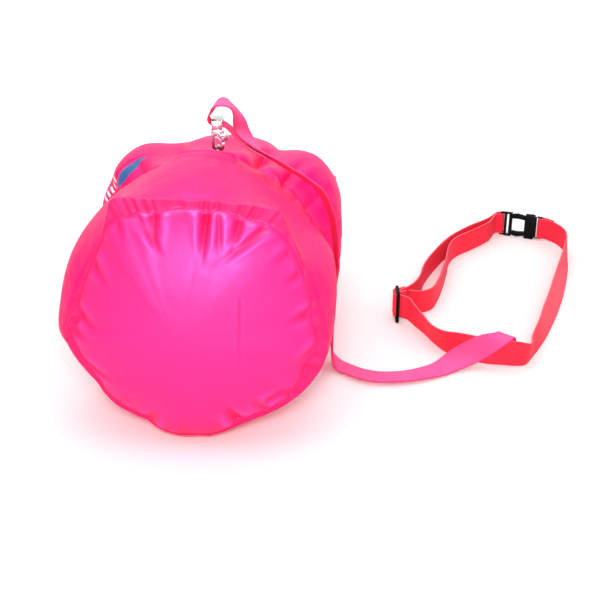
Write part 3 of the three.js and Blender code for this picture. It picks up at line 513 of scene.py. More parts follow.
# 'light' is the painted sheen colour of upward faces and grazing angles
WEBBING = webbing_material("woven_webbing", base=(0.93, 0.018, 0.042), light=(1.0, 0.20, 0.25),
                           deep=(0.66, 0.004, 0.014))
LEASH = webbing_material("leash_webbing", base=(0.94, 0.028, 0.14), light=(1.0, 0.13, 0.40),
                         deep=(0.70, 0.005, 0.03))
THREAD = plastic_material("sewing_thread", base=(0.80, 0.010, 0.05), worn=(0.95, 0.05, 0.14),
                          roughness=0.6, specular=0.25)
BLACK = plastic_material("black_acetal", base=(0.0010, 0.0010, 0.0012),
                         worn=(0.003, 0.003, 0.0032), roughness=0.46, specular=0.06)
STIFFENER = plastic_material("stiffener_plastic", base=(0.012, 0.012, 0.013),
                             worn=(0.03, 0.03, 0.03), roughness=0.45)
VINYL = plastic_material("soft_vinyl", base=(0.80, 0.76, 0.77), worn=(0.86, 0.84, 0.85),
                         roughness=0.38, specular=0.45)
NICKEL = metal_material("nickel_plate", base=(0.40, 0.385, 0.38), roughness=0.13)
STEEL = metal_material("spring_steel", base=(0.62, 0.62, 0.64), roughness=0.2, brushed=0.1)
# the blue is given in sRGB levels and turned to linear
BLUE = ink_material("blue_ink", tuple(((level / 255 + 0.055) / 1.055) ** 2.4
                                      for level in (26, 92, 158)))
WHITE = ink_material("white_ink", (0.86, 0.84, 0.86))


# ---------------------------------------------------------------- mesh helpers
def link_object(name, data):
    piece = bpy.data.objects.new(name, data)
    bpy.context.scene.collection.objects.link(piece)
    return piece


def shade_smooth(mesh):
    mesh.polygons.foreach_set("use_smooth", [True] * len(mesh.polygons))


def make(name, points, faces, material, uv=None):
    """A smooth object from points in mm, with a UV pair per point if given."""
    mesh = bpy.data.meshes.new(name)
    mesh.from_pydata([tuple(point) for point in np.asarray(points, float) * MM], [], faces)
    mesh.materials.append(material)
    if uv is not None:
        layer = mesh.uv_layers.new(name="UVMap")
        corners = np.zeros(len(mesh.loops), np.int32)
        mesh.loops.foreach_get("vertex_index", corners)
        layer.data.foreach_set("uv", np.asarray(uv, float)[corners].ravel())
    shade_smooth(mesh)
    mesh.validate()
    mesh.update()
    return link_object(name, mesh)


def outward(piece):
    bm = bmesh.new()
    bm.from_mesh(piece.data)
    bmesh.ops.recalc_face_normals(bm, faces=bm.faces)
    bm.to_mesh(piece.data)
    bm.free()
    return piece


def sharpen(piece, degrees):
    piece.data.set_sharp_from_angle(angle=math.radians(degrees))
    return piece


def register(piece, body, replaces=None):
    if replaces:
        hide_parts(replaces)
    if isinstance(body, tuple):
        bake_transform(piece)
    else:
        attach(piece, body)


def grid_faces(rows, columns, base=0, wrap_rows=False, wrap_columns=True, flip=False):
    """Quads between neighbouring rows of points, numbered row by row from base."""
    faces = []
    for row in range(rows if wrap_rows else rows - 1):
        here, there = base + row * columns, base + (row + 1) % rows * columns
        for column in range(columns if wrap_columns else columns - 1):
            side = (column + 1) % columns
            quad = (here + column, there + column, there + side, here + side)
            faces.append((quad[0], *quad[:0:-1]) if flip else quad)
    return faces


def even_angles(count):
    return (np.arange(count) + 0.5) * 360.0 / count


def ring(radius, y, radians):
    """Points round the float's axis."""
    x, z = radius * np.cos(radians), AXIS_Z + radius * np.sin(radians)
    return np.stack(np.broadcast_arrays(x, y, z), -1)


def sweep(path, across, upward, radii, sides):
    """Rings of points round each point of a path."""
    around = (2 * math.pi * np.arange(sides) / sides)[None, :, None]
    rings = across[:, None] * np.cos(around) + upward[:, None] * np.sin(around)
    return (path[:, None] + np.reshape(radii, (-1, 1, 1)) * rings).reshape(-1, 3)


def unit(vectors):
    return vectors / np.linalg.norm(vectors, axis=-1, keepdims=True)


def laid(points):
    """Places belt, leash and hook points, which lie in axes turned from the float's own."""
    points = np.asarray(points, float)
    turn = math.radians(LAY_ANGLE)
    x, y = points[..., 0] + LAY_X, points[..., 1]
    return np.stack([x * math.cos(turn) - y * math.sin(turn),
                     x * math.sin(turn) + y * math.cos(turn), points[..., 2]], -1)


def laid_m(x, y, z):
    return tuple(laid([x, y, z]) * MM)


def catmull(points, per):
    """Centripetal Catmull-Rom curve, with 'per' steps between points."""
    padded = np.vstack([2 * points[0] - points[1], points, 2 * points[-1] - points[-2]])
    curve = []
    for p0, p1, p2, p3 in zip(padded, padded[1:], padded[2:], padded[3:]):
        d0, d1, d2 = (max(np.sum((a - b) ** 2) ** 0.25, 1e-4)
                      for a, b in ((p0, p1), (p1, p2), (p2, p3)))
        out1 = ((p1 - p0) / d0 - (p2 - p0) / (d0 + d1) + (p2 - p1) / d1) * d1
        out2 = ((p2 - p1) / d1 - (p3 - p1) / (d1 + d2) + (p3 - p2) / d2) * d1
        square = -3 * p1 + 3 * p2 - 2 * out1 - out2
        cube = 2 * p1 - 2 * p2 + out1 + out2
        for step in np.arange(per) / per:
            curve.append(p1 + out1 * step + square * step ** 2 + cube * step ** 3)
    curve.append(points[-1])
    return np.array(curve)


# ---------------------------------------------------------------- webbing and stitches
def webbing_profile():
    """Closed cross section: (share of the width, share of half the thickness)."""
    rounding = 0.028
    flat = 0.5 - rounding
    profile = []
    for side in (1, -1):
        profile += [(side * flat * x, side) for x in np.linspace(-1, 1, 14)]
        for step in (1, 2, 3):
            angle = side * math.pi / 2 - math.pi * step / 4
            profile.append((side * flat + rounding * math.cos(angle), math.sin(angle)))
    return np.array(profile)


PROFILE = webbing_profile()


class Strip:
    """A flat webbing strip between two edge curves, with rounded selvedges.

    A station is a point on one edge and the point across from it: (x, y, z, x, y, z).
    """

    def __init__(self, stations, thick=WEB_THICK, per=8, turned=True):
        stations = np.asarray(stations, float)
        edges = [catmull(stations[:, :3], per), catmull(stations[:, 3:], per)]
        self.first, self.second = [laid(edge) for edge in edges] if turned else edges
        self.thick = thick
        middle = (self.first + self.second) / 2
        across = self.second - self.first
        self.normal = unit(np.cross(np.gradient(middle, axis=0), across))
        steps = np.linalg.norm(np.diff(middle, axis=0), axis=1)
        self.arc = np.concatenate([[0], np.cumsum(steps)])
        self.width = np.linalg.norm(across, axis=1)
        self.total = self.arc[-1]

    def at(self, arc):
        """Both edge points and the normal at some arc lengths."""
        first, second, normal = [
            np.stack([np.interp(arc, self.arc, curve[:, axis]) for axis in range(3)], -1)
            for curve in (self.first, self.second, self.normal)]
        return first, second, unit(normal)

    def point(self, arc, share, lift):
        """Points at -0.5..0.5 of the width, lifted along the normal."""
        first, second, normal = self.at(arc)
        return first + (second - first) * (share[:, None] + 0.5) + normal * lift[:, None]

    def mesh(self, name, material):
        rows, columns = len(self.arc), len(PROFILE)
        across = (self.second - self.first)[:, None] * (PROFILE[:, :1] + 0.5)
        lift = self.normal[:, None] * PROFILE[:, 1:] * self.thick / 2
        points = (self.first[:, None] + across + lift).reshape(-1, 3)
        uv = np.stack(np.broadcast_arrays(
            self.arc[:, None] * MM, PROFILE[:, 0] * WEB_WIDTH * MM), -1).reshape(-1, 2)
        faces = grid_faces(rows, columns)
        # cut ends, slightly domed
        for row, inner in ((0, 1), (rows - 1, rows - 2)):
            start, tip = row * columns, len(points)
            middle = points[start:start + columns].mean(0)
            bulge = (self.first[row] - self.first[inner]) * 0.05
            points = np.vstack([points, middle + bulge])
            uv = np.vstack([uv, [self.arc[row] * MM, 0]])
            for column in range(columns):
                here, side = start + column, start + (column + 1) % columns
                faces.append((here, side, tip) if row == 0 else (side, here, tip))
        return outward(make(name, points, faces, material, uv))


STITCH_R, STITCH_LENGTH, STITCH_GAP = 0.28, 2.2, 0.7
STITCH_SIDES = 6


def stitch_points(path, normal):
    """One stitch: a short, slightly flattened thread with tapered ends."""
    tangents = unit(np.gradient(path, axis=0))
    across = unit(np.cross(tangents, normal))
    radii = STITCH_R * np.array([0.35] + [1.0] * (len(path) - 2) + [0.35])
    return sweep(path, across, 0.75 * np.cross(across, tangents), radii, STITCH_SIDES)


def stitches(name, strip, lines, sides=(1, -1)):
    """Rows of stitches on the sides of a strip.

    Each line is (arc length, share across) at its start, then at its end.
    """
    points, faces = [], []
    for arc0, share0, arc1, share1 in lines:
        middle = (arc0 + arc1) / 2
        width = float(np.interp(middle, strip.arc, strip.width))
        length = math.hypot(arc1 - arc0, (share1 - share0) * width)
        count = max(1, int(round(length / (STITCH_LENGTH + STITCH_GAP))))
        normal = strip.at(np.array([middle]))[2][0]
        for i in range(count):
            along = np.linspace((i + 0.12) / count, (i + 0.88) / count, 4)
            for side in sides:
                lift = np.array([0.0, 0.16, 0.16, 0.0]) + strip.thick / 2
                path = strip.point(arc0 + (arc1 - arc0) * along,
                                   share0 + (share1 - share0) * along, side * lift)
                base = len(points)
                points.extend(stitch_points(path, normal))
                faces += grid_faces(len(path), STITCH_SIDES, base)
                faces.append(tuple(range(base, base + STITCH_SIDES))[::-1])
                faces.append(tuple(range(len(points) - STITCH_SIDES, len(points))))
    return make(name, np.array(points), faces, THREAD)


def box_lines(start, end, half):
    """A box stitch with its cross."""
    return [(start, -half, end, -half), (end, -half, end, half), (end, half, start, half),
            (start, half, start, -half), (start, -half, end, half), (start, half, end, -half)]


def cross_lines(arcs, half):
    """Stitch rows straight across the strip."""
    return [(arc, -half, arc, half) for arc in arcs]


# ---------------------------------------------------------------- air chambers
def chamber(name, start, end, count, replaces):
    """A film ring of 'count' outer rings, closed inwards over the liner."""
    around, inner_r, uv_radius = 400, 66.4, 108
    angles = even_angles(around)
    radians = np.radians(angles)
    backs = start + (end - start) * (np.arange(count) / (count - 1))
    outer = skin(*np.meshgrid(angles, backs, indexing="ij"))
    rings = [outer[:, k] for k in range(count)]
    rings += [ring(inner_r, RIM_Y + back, radians) for back in (end, (start + end) / 2, start)]
    uv = [np.stack([radians * uv_radius * MM, np.full(around, back * MM)], -1)
          for back in (*backs, end, end, end)]
    faces = grid_faces(len(rings), around, wrap_rows=True, flip=True)
    piece = outward(make(name, np.concatenate(rings), faces, FILM, np.concatenate(uv)))
    register(sharpen(piece, 50), "float", replaces)


chamber("front_chamber_film", 0.3, WAIST_BACK - 0.2, 118, "front_air_chamber")
chamber("rear_chamber_film", WAIST_BACK + 0.2, LENGTH, 124, "rear_air_chamber")

# ---------------------------------------------------------------- welded end panel
# line of the weld: (x, z)
WELD = [
    (-45.9, 194.4), (-38, 195.5), (-30.6, 199.4), (-22, 198.2), (-13.8, 200.4), (1.1, 202.3),
    (15.9, 202.4), (21, 200), (26.9, 201.8), (36, 201.2), (41.5, 199.4), (46, 196.4),
    (52.4, 195.6), (60, 194.2), (67.0, 192.4), (72.5, 188.9), (80, 180), (85.3, 169.6),
    (88, 160), (92.7, 149.8), (96.5, 131.5), (95.5, 124), (98.5, 110.7), (101.5, 100),
    (99.6, 89.3), (90.9, 78.0), (89, 66), (83.1, 55.4), (72, 53), (67.3, 47.8), (58, 42),
    (45.1, 34.5), (36, 21.5), (24, 15.5), (7, 13.2), (-8, 14.5), (-20, 19), (-30.0, 25.0),
    (-47.9, 32.3), (-58, 39), (-67.1, 49.4), (-70.4, 63.0), (-80, 73), (-84.5, 82.3),
    (-89, 93), (-87.7, 101.9), (-81, 111), (-80.6, 123.8), (-75, 140), (-68.1, 155.6),
    (-65.5, 166), (-61.5, 178.0), (-54, 188),
]
# folds: (x, z) of the outer end, of the inner end, depth, half width at each end
FOLDS = [
    ((-21.4, 214), (-15.0, 176), 6.5, 5.2, 2.2), ((22.2, 214), (18.8, 168), 6.5, 4.6, 1.8),
    ((29.0, 208), (31.9, 172), 3.4, 2.4, 1.8), ((48.0, 208), (41.0, 176), 5.6, 4.6, 2.0),
    ((58.8, 209), (50.5, 186), 3.6, 3.2, 2.0), ((70.0, 196), (30.0, 166), 3.0, 3.0, 1.8),
    ((-32.5, 201), (-10.0, 171), 2.8, 3.2, 2.0), ((96.0, 161.5), (78, 149), 3.2, 3.6, 2.4),
    ((104, 127), (80, 118.5), 3.8, 3.8, 2.2), ((104, 95), (86, 82), 2.6, 3.4, 2.2),
    ((66, 50), (84, 62.5), 2.2, 2.6, 2.0), ((-70.0, 163.5), (-53, 141), 3.0, 3.6, 2.4),
    ((-84, 119), (-67, 108), 3.2, 3.6, 2.2), ((-91.0, 104), (-72, 96), 2.6, 3.6, 2.4),
    ((-79.0, 71.5), (-52, 61), 2.6, 3.6, 2.4), ((-33, 21.5), (-22, 39), 4.2, 4.2, 2.4),
    ((40, 27.5), (31, 46), 4.2, 4.2, 2.4), ((-58, 36), (-48, 50), 2.0, 3.4, 2.4),
    ((60, 41), (50, 55), 2.0, 3.4, 2.4), ((46.8, 136), (43.4, 44), 0.55, 1.2, 1.2),
    ((5, 211), (4, 196), 1.6, 3.0, 2.0), ((-48, 196), (-40, 178), 2.2, 3.0, 2.2),
    ((84, 176), (70, 164), 1.8, 3.2, 2.4), ((-3, 9), (-2, 30), 1.2, 4.2, 3.0),
]
FLANGE_FOLDS = 7  # the first folds also crease the flange
PANEL_GAP = 1.4  # from the rim plane to the foot of the dome


def polar(x, z):
    """Angle and distance from the float's axis."""
    return np.degrees(np.arctan2(z - AXIS_Z, x)) % 360, np.hypot(x, z - AXIS_Z)


def weld_line():
    """Radius of the weld at each of ANGLES, kept inside the rim and close to it low down."""
    angles, radii = polar(*np.array(WELD, float).T)
    radius = blurred_turn(np.interp(ANGLES, angles, radii, period=360), 0.9)
    outer = RIM_SECTION - 2.2
    radius = np.minimum(radius, outer)
    radius = np.maximum(radius, outer * span(ANGLES, 236, 12, 292, 16))
    lower_half = span(ANGLES, 196, 14, 318, 16) > 0.5
    radius = np.maximum(radius, (RIM_SECTION - 4.6) * lower_half)
    return blurred_turn(radius, 0.8)


WELD_LINE = weld_line()


def dome(radius, weld):
    """Height of the panel without folds."""
    return 26.0 * np.maximum(0.0, 1 - np.clip(radius / weld, 0, 1) ** 2) ** 0.68


def fold_depth(x, z, outer, inner, depth, outer_half, inner_half):
    along_x, along_z = np.subtract(inner, outer)
    length = math.hypot(along_x, along_z)
    along_x, along_z = along_x / length, along_z / length
    from_x, from_z = x - outer[0], z - outer[1]
    along = (from_x * along_x + from_z * along_z) / length
    across = from_z * along_x - from_x * along_z
    inside = np.clip(along, 0, 1)
    fade = (1 - smooth(inside)) * 0.86 + 0.14
    fade = fade * bell(np.maximum(0, along - 1) * length, 7)
    fade = fade * bell(np.maximum(0, -along) * length, 5) * (1 - smooth((along - 0.7) / 0.45))
    half = outer_half + (inner_half - outer_half) * inside
    return depth * fade * furrow(across, half, power=1.3, ridge=0.45, ridge_at=2.1,
                                 ridge_width=1.1)


def panel_height(x, z):
    """How far the panel stands in front of the rim plane, less PANEL_GAP."""
    angle, radius = polar(x, z)
    weld = at_angle(WELD_LINE, angle)
    height = dome(radius, weld)
    inside = smooth((1 - np.clip(radius / weld, 0, 1)) / 0.035)
    for fold in FOLDS:
        height = height - fold_depth(x, z, *fold) * inside
    # ridge of the weld bead, and the flange's faint ribbing
    height = np.maximum(height, -0.9) + 0.28 * bell(radius - weld, 0.55)
    flange = smooth((radius - weld) / 2.0)
    height = height + flange * (0.35 * ripple(np.radians(angle) * 23, 31) - 0.15)
    for outer, *_ in FOLDS[:FLANGE_FOLDS]:
        across = np.radians(wrap(angle - polar(*outer)[0])) * radius
        rib = bell(across - 2.6, 2.0) - bell(across, 1.8) + 0.7 * bell(across + 2.6, 2.0)
        height = height + flange * 0.7 * rib
    return height


def point_attribute(piece, name, values):
    attribute = piece.data.attributes.new(name, "FLOAT", "POINT")
    attribute.data.foreach_set("value", values.astype(np.float32))


def end_panel():
    around, steps = 560, 150
    angles = even_angles(around)
    radians = np.radians(angles)
    rim = at_angle(RIM_SECTION, angles)
    foot = RIM_Y - PANEL_GAP
    rings = []
    for share in np.linspace(0, 1, steps + 1)[1:]:
        flat = ring(share * rim, 0.0, radians)
        y = foot - panel_height(flat[:, 0], flat[:, 2])
        rings.append(ring(share * rim, np.minimum(y, RIM_Y - 0.5), radians))
    # the rim edge turns over to the back face: (beyond the rim, y from the rim plane)
    for beyond, shift in ((0.35, -0.95), (0.35, -0.45), (0.0, 0.0)):
        rings.append(ring(rim + beyond, RIM_Y + shift, radians))
    rings.append(ring(20, RIM_Y, radians))
    faces = grid_faces(len(rings), around, flip=True)
    front_center = len(rings) * around
    last_ring = front_center - around
    tip = foot - float(panel_height(np.array([0.0]), np.array([AXIS_Z]))[0])
    points = np.concatenate(rings + [[[0, tip, AXIS_Z], [0, RIM_Y, AXIS_Z]]])
    for i in range(around):
        side = (i + 1) % around
        faces.append((front_center, side, i))
        faces.append((front_center + 1, last_ring + i, last_ring + side))
    x, y, z = points.T
    piece = make("end_panel_film", points, faces, PANEL_FILM, points[:, [0, 2]] * MM)
    angle, radius = polar(x, z)
    weld = at_angle(WELD_LINE, angle)
    point_attribute(piece, "flange", smooth((radius - weld) / 1.2 + 0.5))
    # height over or under the plain dome, weak on the flange and none on the back; the film paints
    # shade into its grooves and highlight onto its ridges from it
    relief = np.clip((foot - y - dome(radius, weld)) / 2.2, -1, 1) * (y < RIM_Y - 1.0)
    point_attribute(piece, "relief", relief * (1 - 0.8 * smooth((radius - weld) / 1.5)))
    register(sharpen(outward(piece), 62), "float", "welded_end_panel")


end_panel()


# ---------------------------------------------------------------- printed wave and bars
def ribbon(center, widths):
    """Two edges of a smoothed ribbon along (angle, back) points."""
    count, passes = 60, 12
    mm_per_degree = 1.95
    along = np.linspace(0, 1, count)
    at = np.linspace(0, 1, len(center))
    line = np.stack([np.interp(along, at, column) for column in np.array(center, float).T], -1)
    for _ in range(passes):
        line[1:-1] = (line[:-2] + line[2:] + 2 * line[1:-1]) / 4
    width = np.interp(along, np.linspace(0, 1, len(widths)), widths)
    tangent = unit(np.gradient(line * [mm_per_degree, 1], axis=0))
    normal = np.stack([-tangent[:, 1] / mm_per_degree, tangent[:, 0]], -1)
    half = normal * width[:, None] / 2
    return line + half, line - half


def printed(name, ribbons, material):
    """Ribbons laid just over the rear chamber."""
    columns, lift = 9, 0.12
    points, faces = [], []
    for first, second in ribbons:
        faces += grid_faces(len(first), columns, len(points), wrap_columns=False)
        share = np.arange(columns)[:, None] / (columns - 1)
        spots = first[:, None] + (second - first)[:, None] * share
        points.extend(skin(spots[..., 0], spots[..., 1], lift).reshape(-1, 3))
    register(make(name, np.array(points), faces, material), "float")


def bar(index):
    angle = 149.0 + 2.5 * index
    return ribbon([(angle, 173.5 - 1.0 * index), (angle + 0.5, 184 - 0.8 * index)],
                  [2.4, 2.4, 2.4])


WAVE = [(149.5, 165), (146, 165.5), (142.5, 166.5), (138.5, 170), (134.5, 175), (130, 181)]
printed("printed_wave", [ribbon(WAVE, [1, 7, 11, 12, 8, 0.6])], BLUE)
printed("printed_bars", [bar(index) for index in range(5)], WHITE)


# ---------------------------------------------------------------- liner, collar, rolled mouth
def collar():
    """Film from the round liner to the flat mouth, with an inner and an outer wall."""
    around, steps, wall = 200, 40, 1.1
    start, end = LENGTH + 0.4, ROLL_BACK - 14
    radians = np.radians(even_angles(around))

    def collar_ring(share, inset):
        flatten = smooth(share)
        half_x = LINER_R + (MOUTH_HALF + 1 - LINER_R) * math.sin(share * math.pi / 2) - inset
        half_z = LINER_R * (1 - flatten) + 2.2 * flatten - inset
        slack = math.sin(math.pi * min(1, share * 1.02)) * 1.6
        fold = slack * ripple(radians * 9 + 2 * share, 41) * 0.9
        x = (half_x + fold * 0.4) * np.cos(radians)
        z = AXIS_Z + (half_z + fold) * np.sin(radians)
        return np.stack([x, np.full(around, RIM_Y + start + (end - start) * share), z], -1)

    rings = [collar_ring(share, 0.0) for share in np.linspace(0, 1, steps)]
    rings += [collar_ring(share, wall) for share in np.linspace(1, 0, steps)]
    uv = [np.stack([radians * LINER_R * MM, np.full(around, i * MM)], -1)
          for i in range(len(rings))]
    faces = grid_faces(len(rings), around, wrap_rows=True, flip=True)
    piece = make("collar_film", np.concatenate(rings), faces, BAG_FILM, np.concatenate(uv))
    register(outward(piece), "float", "roll_top_collar")


def rolled_mouth():
    """A spiral of thick film, as wide as the mouth."""
    turns, steps, columns = 2.2, 110, 60
    outer_r, thick, pitch = 12, 2.2, 2.8
    x = np.linspace(-MOUTH_HALF, MOUTH_HALF, columns)
    points, uv = [], []
    for i in range(steps + 1):
        wound = 2 * math.pi * turns * i / steps
        angle = math.pi - wound
        spiral = outer_r - pitch * wound / (2 * math.pi)
        for side in (1, -1):
            radius = spiral + side * thick / 2 + 0.22 * ripple(x / 11 + angle, 51)
            points.append(np.stack([x, RIM_Y + ROLL_BACK + radius * math.cos(angle),
                                    AXIS_Z + radius * math.sin(angle)], -1))
            uv.append(np.stack([x * MM, np.full(columns, spiral * wound * MM)], -1))

    def index(i, side, column):
        return (i * 2 + side) * columns + column

    faces = []
    for i in range(steps):
        for k in range(columns - 1):
            faces.append((index(i, 0, k), index(i + 1, 0, k),
                          index(i + 1, 0, k + 1), index(i, 0, k + 1)))
            faces.append((index(i, 1, k), index(i, 1, k + 1),
                          index(i + 1, 1, k + 1), index(i + 1, 1, k)))
        for k in (0, columns - 1):
            faces.append((index(i, 0, k), index(i, 1, k), index(i + 1, 1, k), index(i + 1, 0, k)))
    for i in (0, steps):
        for k in range(columns - 1):
            faces.append((index(i, 0, k), index(i, 0, k + 1), index(i, 1, k + 1), index(i, 1, k)))
    piece = outward(make("rolled_mouth_film", np.concatenate(points), faces, BAG_FILM,
                         np.concatenate(uv)))
    register(sharpen(piece, 50), "float", "rolled_mouth")


def refined(node_name, material, bevel, body, slot, name=None):
    """A finer copy of a CAD node: triangles merged to faces, sharp edges rounded."""
    name = name or node_name + "_look"
    bm = bmesh.new()
    bm.from_mesh(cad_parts[node_name].data)
    bmesh.ops.remove_doubles(bm, verts=bm.verts, dist=2e-6)
    bmesh.ops.dissolve_limit(bm, angle_limit=math.radians(1.0), verts=bm.verts, edges=bm.edges)
    bmesh.ops.recalc_face_normals(bm, faces=bm.faces)
    if bevel > 0:
        edges = [edge for edge in bm.edges
                 if len(edge.link_faces) == 2 and edge.calc_face_angle(0) > math.radians(30)]
        bmesh.ops.bevel(bm, geom=edges, offset=bevel * MM, segments=3, profile=0.5,
                        affect="EDGES", clamp_overlap=True)
    bmesh.ops.remove_doubles(bm, verts=bm.verts, dist=1e-6)
    mesh = bpy.data.meshes.new(name)
    bm.to_mesh(mesh)
    bm.free()
    mesh.materials.clear()
    mesh.materials.append(material)
    shade_smooth(mesh)
    mesh.set_sharp_from_angle(angle=math.radians(40))
    mesh.update()
    register(link_object(name, mesh), body, node_name)


collar()
rolled_mouth()
refined("dry_bag_liner", BAG_FILM, 0.0, "float", "bag_film", name="liner_film")
refined("mouth_stiffener", STIFFENER, 0.3, "float", "black_plastic")

# ---------------------------------------------------------------- belt webbing
BUCKLE = np.array([342.5, 394.5])
BUCKLE_ALONG = unit(np.array([0.93, -0.3676]))
BUCKLE_ACROSS = np.array([BUCKLE_ALONG[1], -BUCKLE_ALONG[0]])
ADJUSTER_X, ADJUSTER_Y = 172.0, 169.0
# webbing round the bars of the buckle halves: (along, across) from the buckle's origin
SOCKET_WRAP = [(18.4, 3.0), (16.28, 2.12), (15.4, 0), (16.28, -2.12), (18.4, -3.0)]
PLUG_WRAP = [(-28.75, 2.9), (-26.7, 2.05), (-25.85, 0), (-26.7, -2.05), (-28.75, -2.9)]


def upright(z, x, y, lean_x=0.0, lean_y=0.0):
    """A station of webbing on edge: its lower point, and how far the upper one leans."""
    rise = math.sqrt(WEB_WIDTH ** 2 - lean_x * lean_x - lean_y * lean_y)
    return [x, y, z, x + lean_x, y + lean_y, z + rise]


def at_adjuster(along, across, z=4.4):
    return upright(z, ADJUSTER_X + across, ADJUSTER_Y + along)


def at_buckle(along, across):
    return upright(2.3, *(BUCKLE + along * BUCKLE_ALONG + across * BUCKLE_ACROSS))


def stations(place, rows):
    return [place(*row) for row in rows]


# rows on the floor: (z, x, y, lean in x, lean in y); at the adjuster: (along, across, z)
MAIN_RUN = [
    *stations(at_adjuster, [
        (8.6, 9.5, 3.6), (4.6, 5), (3.3, 1.6), (3.0, -1.2), (2.1, -2.6), (0, -3.3),
        (-2.1, -2.6), (-3.0, -1.2), (-3.3, 1.6), (-5.2, 5.2, 4.2)]),
    *stations(upright, [
        (3, 183, 161), (1, 188, 154, -1, -3), (0.4, 197, 136, -3, -7), (0.4, 204, 117, -4, -8),
        (0.4, 212, 100, -3, -5), (0.8, 222, 87.5, 1, 1), (2.6, 234, 76.5, 3, 3),
        (2.8, 247, 70, 2, 3), (2.8, 261, 68, 0, 2), (2.2, 274, 67.4, 1, 0.6),
        (0.6, 283, 72, 1, -4), (0.4, 289, 81, -1, -9), (0.4, 296, 93, -5, -7),
        (0.4, 312, 123, -8, -3), (0.4, 326, 155, -10, 0), (0.4, 340, 190, -11, 1),
        (0.4, 354, 230, -11, 2), (0.4, 366, 270, -9, 1), (0.4, 375, 305, -6, 0),
        (0.6, 380, 336, -2, -3), (1.0, 380, 355), (1.6, 374.5, 372)]),
    *stations(at_buckle, [(24.5, 2.4), (21, 3.0), *SOCKET_WRAP, (21.5, -2.9), (26, -1.6)]),
    upright(2.0, 373.2, 379),
]
ADJUSTER_RUN = [
    *stations(upright, [
        (3.6, 184.5, 178.4), (2.2, 197, 179.5), (0.8, 209, 190.5), (0.4, 217.3, 211),
        (0.4, 226.6, 244), (0.4, 233.3, 272), (0.4, 242.3, 312), (0.4, 253, 333),
        (0.6, 273, 353), (1.6, 296, 377.5)]),
    *stations(at_buckle, [(-33.5, 3.6), *PLUG_WRAP, (-33.5, -3.4)]),
    *stations(upright, [
        (1.6, 297, 390), (0.8, 271, 366), (0.4, 246.2, 336), (0.4, 226.3, 299),
        (0.4, 208, 255), (0.6, 200, 223), (2.2, 192, 201)]),
    *stations(at_adjuster, [
        (15.5, 11), (10.0, 4.6), (6.3, 2.4), (5.4, 0), (6.3, -2.2), (8.5, -3.1), (10.7, -2.2),
        (11.7, 0), (12.9, 3.4), (16.2, 8.6)]),
]
belt_main = Strip(MAIN_RUN, per=7)
register(belt_main.mesh("belt_webbing", WEBBING), "belt", "belt_webbing_main")
belt_blend = ("belt", "belt_plug", laid_m(205.0, 190.0, 14.0),
              laid_m(*(BUCKLE - 36 * BUCKLE_ALONG), 14.0))
register(Strip(ADJUSTER_RUN, per=7).mesh("belt_adjuster_webbing", WEBBING), belt_blend,
         "belt_webbing_adjuster_run")


# ---------------------------------------------------------------- leash webbing
def over_ring(x, z, y, half, lean=0.0):
    """A station across the leash; y is from the D-ring, lean tips its two edges."""
    return [x, RING_Y + y - half, z + lean, x, RING_Y + y + half, z - lean]


LEASH_LOOP = [
    *stations(over_ring, [
        (50, 204.4, -4, 12, 3.6), (44.5, 208.2, -3.5, 12, 3), (37, 212.2, -2.5, 12, 2.6),
        (30.5, 217.6, -1, 11.5, 1.2), (24.5, 223.4, 0, 10), (18.5, 229.2, 0, 8),
        (13.5, 233.4, 0, 6.8), (8, 234.6, 0, 6.4), (3.4, 234.7, 0, 6.4), (1.3, 236.6, 0, 6.5),
        (0.8, 239.6, 0, 7)]),
    [2.8, 46, 244.6, 4.6, 62, 243.6], [5.2, 44, 249.1, 6.2, 64, 248.0],
    [10.3, 43, 251.3, 9.4, 65.5, 251.6], [16.8, 42.6, 250.9, 13.9, 66.2, 252],
    [20.7, 42.5, 248.3, 18.6, 66.3, 247.6], [21.9, 42.7, 243.5, 24.0, 66.3, 242.0],
    [21.5, 43, 238, 29.6, 65.4, 234.7], [22.3, 43.6, 231.3, 32.9, 64.8, 226.1],
    [27.4, 42.6, 224.9, 36.2, 65.1, 219.2], [35, 40.4, 220, 40.8, 63.8, 213.4],
    [44.7, 37.9, 214.9, 43.4, 61.6, 207.3], [56.2, 35.7, 209.4, 53.3, 58.9, 200.7],
    [67.5, 33.8, 203.0, 63.4, 56.9, 194.6], [77.8, 32.4, 197.2, 72.9, 55.6, 189.4],
    [87.2, 32.0, 190.4, 81.7, 55.3, 183.3], [94.9, 32.3, 183.4, 89.1, 55.8, 177.1],
    [101.7, 34.0, 168.8, 95.9, 57.9, 164.0], [106.0, 36.5, 153.7, 100.4, 60.6, 150.3],
    [108.1, 39.6, 133.4, 103.3, 64.1, 131.6], [108.9, 42.8, 110.8, 105.9, 67.6, 110.5],
]
